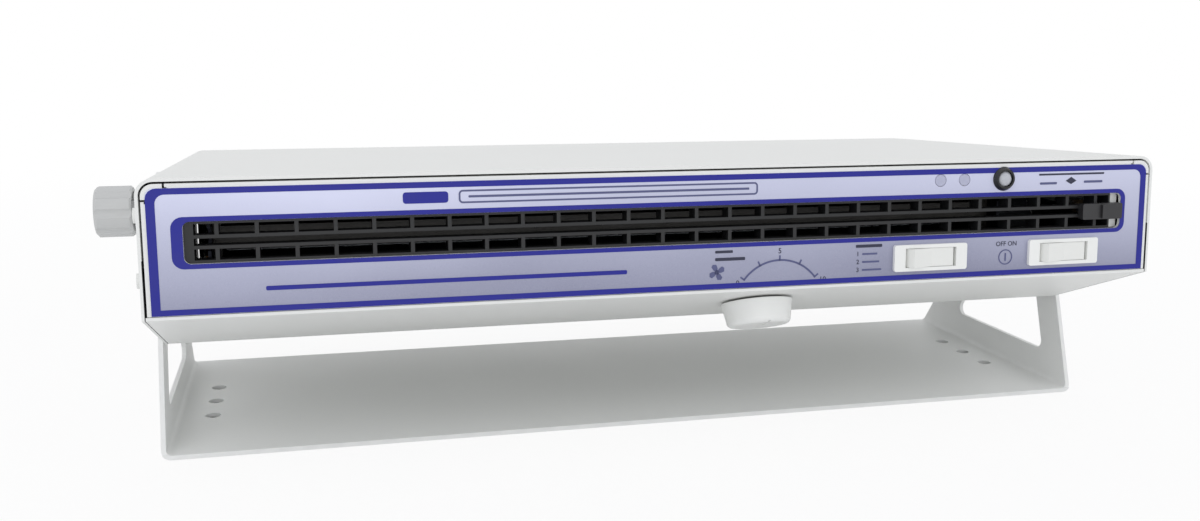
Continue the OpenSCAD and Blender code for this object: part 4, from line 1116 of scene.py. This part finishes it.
@dataclass
class SmallParts:
    """The small repeated parts: the screws' recesses and the brush's hairs."""

    housing: HousingFrame
    side_from_mm: float = 213.0
    hair_pitch_mm: float = 0.5

    def head_faces(self, node: str) -> list[Spot]:
        """Finds the middle of each screw head's face.

        Args:
            node: Name of the screws' node.

        Returns:
            Each face's middle and the way it looks.
        """
        work = bmesh.new()
        work.from_mesh(frame["nodes"][node].data)
        bmesh.ops.remove_doubles(work, verts=work.verts, dist=1e-6)
        left, faces = set(work.verts), []
        while left:
            waiting, points = [left.pop()], []
            while waiting:
                vert = waiting.pop()
                points.append(self.housing.from_world @ vert.co / MM)
                near = {edge.other_vert(vert) for edge in vert.link_edges} & left
                left -= near
                waiting += near
            low = Vector([min(point[i] for point in points) for i in range(3)])
            high = Vector([max(point[i] for point in points) for i in range(3)])
            middle = (low + high) / 2
            if abs(middle.x) > self.side_from_mm:
                way = Vector((math.copysign(1.0, middle.x), 0.0, 0.0))
                middle.x = high.x if middle.x > 0 else low.x
            else:
                way = Vector((0.0, 1.0, 0.0))
                middle.y = high.y
            faces.append((middle, way))
        work.free()
        return faces

    def hair_roots(self) -> tuple[list[Spot], float]:
        """Lays out the roots of the brush's hairs.

        Returns:
            The roots, and the hairs' length.
        """
        low, high = self.housing.extent("cleaner_brush")
        counts = [int((high[i] - low[i]) / self.hair_pitch_mm) for i in (0, 2)]
        roots = [(Vector((low.x + (i + 0.5) * self.hair_pitch_mm, low.y,
                          low.z + (j + 0.5) * self.hair_pitch_mm)), Vector((0.0, 1.0, 0.0)))
                 for i in range(counts[0]) for j in range(counts[1])]
        return roots, high.y - low.y

    def build(self) -> None:
        """Makes the recesses and the hairs."""
        spots = self.head_faces("cover_screws") + self.head_faces("rear_screws")
        recesses = CrossRecesses("screw_recesses", self.housing, spots, RECESS_SIZES)
        recesses.build(BLACK_ZINC, "zinc_steel", Ride.HOUSING)
        roots, length = self.hair_roots()
        hairs = Bristles("brush_hairs", self.housing, roots,
                         {"Length": length, **HAIR_RADII}, lean=HAIR_LEAN)
        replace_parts(hairs.build(FINISHES["cleaner_brush"], "brush_hair", Ride.CLEANER),
                    "cleaner_brush")


Point3 = tuple[float, float, float]
AIR_TINT = srgb(250, 251, 255)
PALE_PAPER = srgb(250, 250, 250)
# Grey of the painted shadow on the floor under the stand.
PAINTED_SHADOW_GREY = srgb(70, 70, 70)


@dataclass(frozen=True)
class Softbox:
    """A square soft lamp: place, aim and side in metres, power in watts."""

    name: str
    place: Point3
    target: Point3
    size: float
    power: float


SOFTBOXES = (
    Softbox("key_softbox", (-1.3, -1.5, 1.7), (0.0, 0.0, 0.08), 1.2, 5.0),
    Softbox("fill_softbox", (1.6, -1.6, 1.1), (0.0, 0.0, 0.08), 1.4, 2.5),
    Softbox("front_softbox", (-0.3, -1.9, 0.45), (0.0, 0.0, 0.05), 1.0, 3.0),
    Softbox("top_softbox", (0.1, 0.5, 1.9), (0.0, 0.0, 0.1), 1.2, 0.5))


@dataclass
class Studio:
    """Camera, lamps, floor and background."""

    eye: tuple[float, float, float] = (-0.1541, -0.5727, 0.1808)
    turn: float = 0.246
    dip: float = 0.1968
    roll: float = -0.006992
    lens_share: float = 1179 / 1200
    sensor: float = 36.0
    air_strength: float = 0.78
    floor_half: float = 4.0
    floor_drop: float = 0.0006
    glow_near: float = 0.9
    glow_from: float = 0.35
    glow_to: float = 1.1
    hidden_edge: float = 0.006

    def camera(self) -> None:
        """Sets the camera: turned to the right, looking down and almost level."""
        data = bpy.data.cameras.new("camera")
        data.sensor_width = self.sensor
        data.lens = self.sensor * self.lens_share
        data.clip_start = 0.01
        made = bpy.data.objects.new("camera", data)
        bpy.context.scene.collection.objects.link(made)
        aim = (Matrix.Rotation(-self.turn, 4, "Z")
               @ Matrix.Rotation(math.pi / 2 - self.dip, 4, "X")
               @ Matrix.Rotation(-self.roll, 4, "Z"))
        made.matrix_world = Matrix.Translation(self.eye) @ aim
        bpy.context.scene.camera = made

    def lamp(self, box: Softbox) -> None:
        """Adds a soft box.

        Args:
            box: Its place, aim, size and power.
        """
        data = bpy.data.lights.new(box.name, "AREA")
        data.size = box.size
        data.energy = box.power
        made = bpy.data.objects.new(box.name, data)
        bpy.context.scene.collection.objects.link(made)
        look = Vector(box.target) - Vector(box.place)
        aim = look.to_track_quat("-Z", "Y").to_matrix().to_4x4()
        made.matrix_world = Matrix.Translation(box.place) @ aim

    def seen_rays(self, graph: Graph) -> bpy.types.NodeSocket:
        """Share that is 1 for rays from the camera, in reflections and through glass.

        Args:
            graph: Tree of the world or the floor.

        Returns:
            The share's socket.
        """
        path = graph.add("ShaderNodeLightPath")
        seen = graph.maths("MAXIMUM", path.outputs["Is Camera Ray"],
                           path.outputs["Is Glossy Ray"])
        return graph.maths("MAXIMUM", seen, path.outputs["Is Transmission Ray"])

    def world(self) -> None:
        """Lights the air softly, and shows it white."""
        made = bpy.data.worlds.new("studio_air")
        bpy.context.scene.world = made
        made.use_nodes = True
        graph = Graph(made.node_tree)
        dim = graph.add("ShaderNodeBackground", {"Color": AIR_TINT,
                                                 "Strength": self.air_strength})
        white = graph.add("ShaderNodeBackground", {"Color": (1, 1, 1, 1), "Strength": 1.0})
        blend = graph.add("ShaderNodeMixShader", {
            0: self.seen_rays(graph), 1: dim.outputs[0], 2: white.outputs[0]})
        graph.add("ShaderNodeOutputWorld", {"Surface": blend.outputs[0]})

    def floor(self) -> None:
        """Lays a pale floor that keeps a soft shadow, with a painted shadow, a dark grey patch,
        under the stand's footprint.
        """
        half, level = self.floor_half, -self.floor_drop
        mesh = bpy.data.meshes.new("floor")
        mesh.from_pydata([(-half, -half, level), (half, -half, level), (half, half, level),
                          (-half, half, level)], [], [(0, 1, 2, 3)])
        made = bpy.data.objects.new("floor", mesh)
        bpy.context.scene.collection.objects.link(made)
        paper = bpy.data.materials.new("floor_paper")
        paper.use_nodes = True
        graph = Graph(paper.node_tree)
        glow = graph.add("ShaderNodeEmission", {"Color": (1, 1, 1, 1), "Strength": 1.0})
        place = graph.add("ShaderNodeTexCoord").outputs["Object"]
        away = graph.add("ShaderNodeVectorMath", {0: place}, operation="LENGTH").outputs["Value"]
        _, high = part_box("stand_bracket")
        axes = graph.add("ShaderNodeSeparateXYZ", {0: place})
        across = graph.maths("GREATER_THAN", graph.maths("ABSOLUTE", axes.outputs[0]),
                             high.x - self.hidden_edge)
        along = graph.maths("GREATER_THAN", graph.maths("ABSOLUTE", axes.outputs[1]),
                            high.y - self.hidden_edge)
        beyond_painted_shadow = graph.maths("MAXIMUM", across, along)
        # Painted shadow: under the stand the floor is dark grey and does not glow.
        tone = graph.mix(beyond_painted_shadow, PAINTED_SHADOW_GREY, PALE_PAPER)
        matt = graph.add("ShaderNodeBsdfDiffuse", {"Color": tone})
        near = graph.ranged(away, self.glow_from, self.glow_to, self.glow_near, 1.0)
        bright = graph.maths("MULTIPLY", near, beyond_painted_shadow)
        share = graph.maths("MULTIPLY", self.seen_rays(graph), bright)
        blend = graph.add("ShaderNodeMixShader", {0: share, 1: matt.outputs[0],
                                                  2: glow.outputs[0]})
        graph.add("ShaderNodeOutputMaterial", {"Surface": blend.outputs[0]})
        mesh.materials.append(paper)

    def build(self) -> None:
        """Sets up the whole studio."""
        self.camera()
        self.world()
        self.floor()
        for box in SOFTBOXES:
            self.lamp(box)
        bpy.context.scene.view_settings.view_transform = "Standard"


def dress_nodes(housing: HousingFrame) -> None:
    """Gives each CAD node its finish.

    Args:
        housing: The housing's frame.
    """
    low, high = housing.extent("front_label")
    ends = [(housing.to_world @ (Vector((0, low.y, z)) * MM)).z / MM for z in (low.z, high.z)]
    # The film's colour and the lower colour are the two ends of a painted reflection, darker
    # towards the bottom.
    film = SilverFilm("silver_film", srgb(205, 208, 232), 0.36, 0.35,
                      lower=srgb(132, 134, 158), bottom_mm=ends[0], top_mm=ends[1])
    for name, node in frame["nodes"].items():
        finish = film if name == "front_label" else FINISHES[name]
        node.data.materials.clear()
        node.data.materials.append(finish.material())
        LOG.info("%s: finish %s", name, finish.name)


def main() -> None:
    """Builds the dressed blower in order."""
    logging.basicConfig(level=logging.INFO, format="%(name)s: %(message)s")
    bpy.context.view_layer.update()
    housing = HousingFrame()
    dress_nodes(housing)
    FrontPrint(housing).build()
    SmallParts(housing).build()
    Studio().build()


if __name__ == "__main__":
    main()
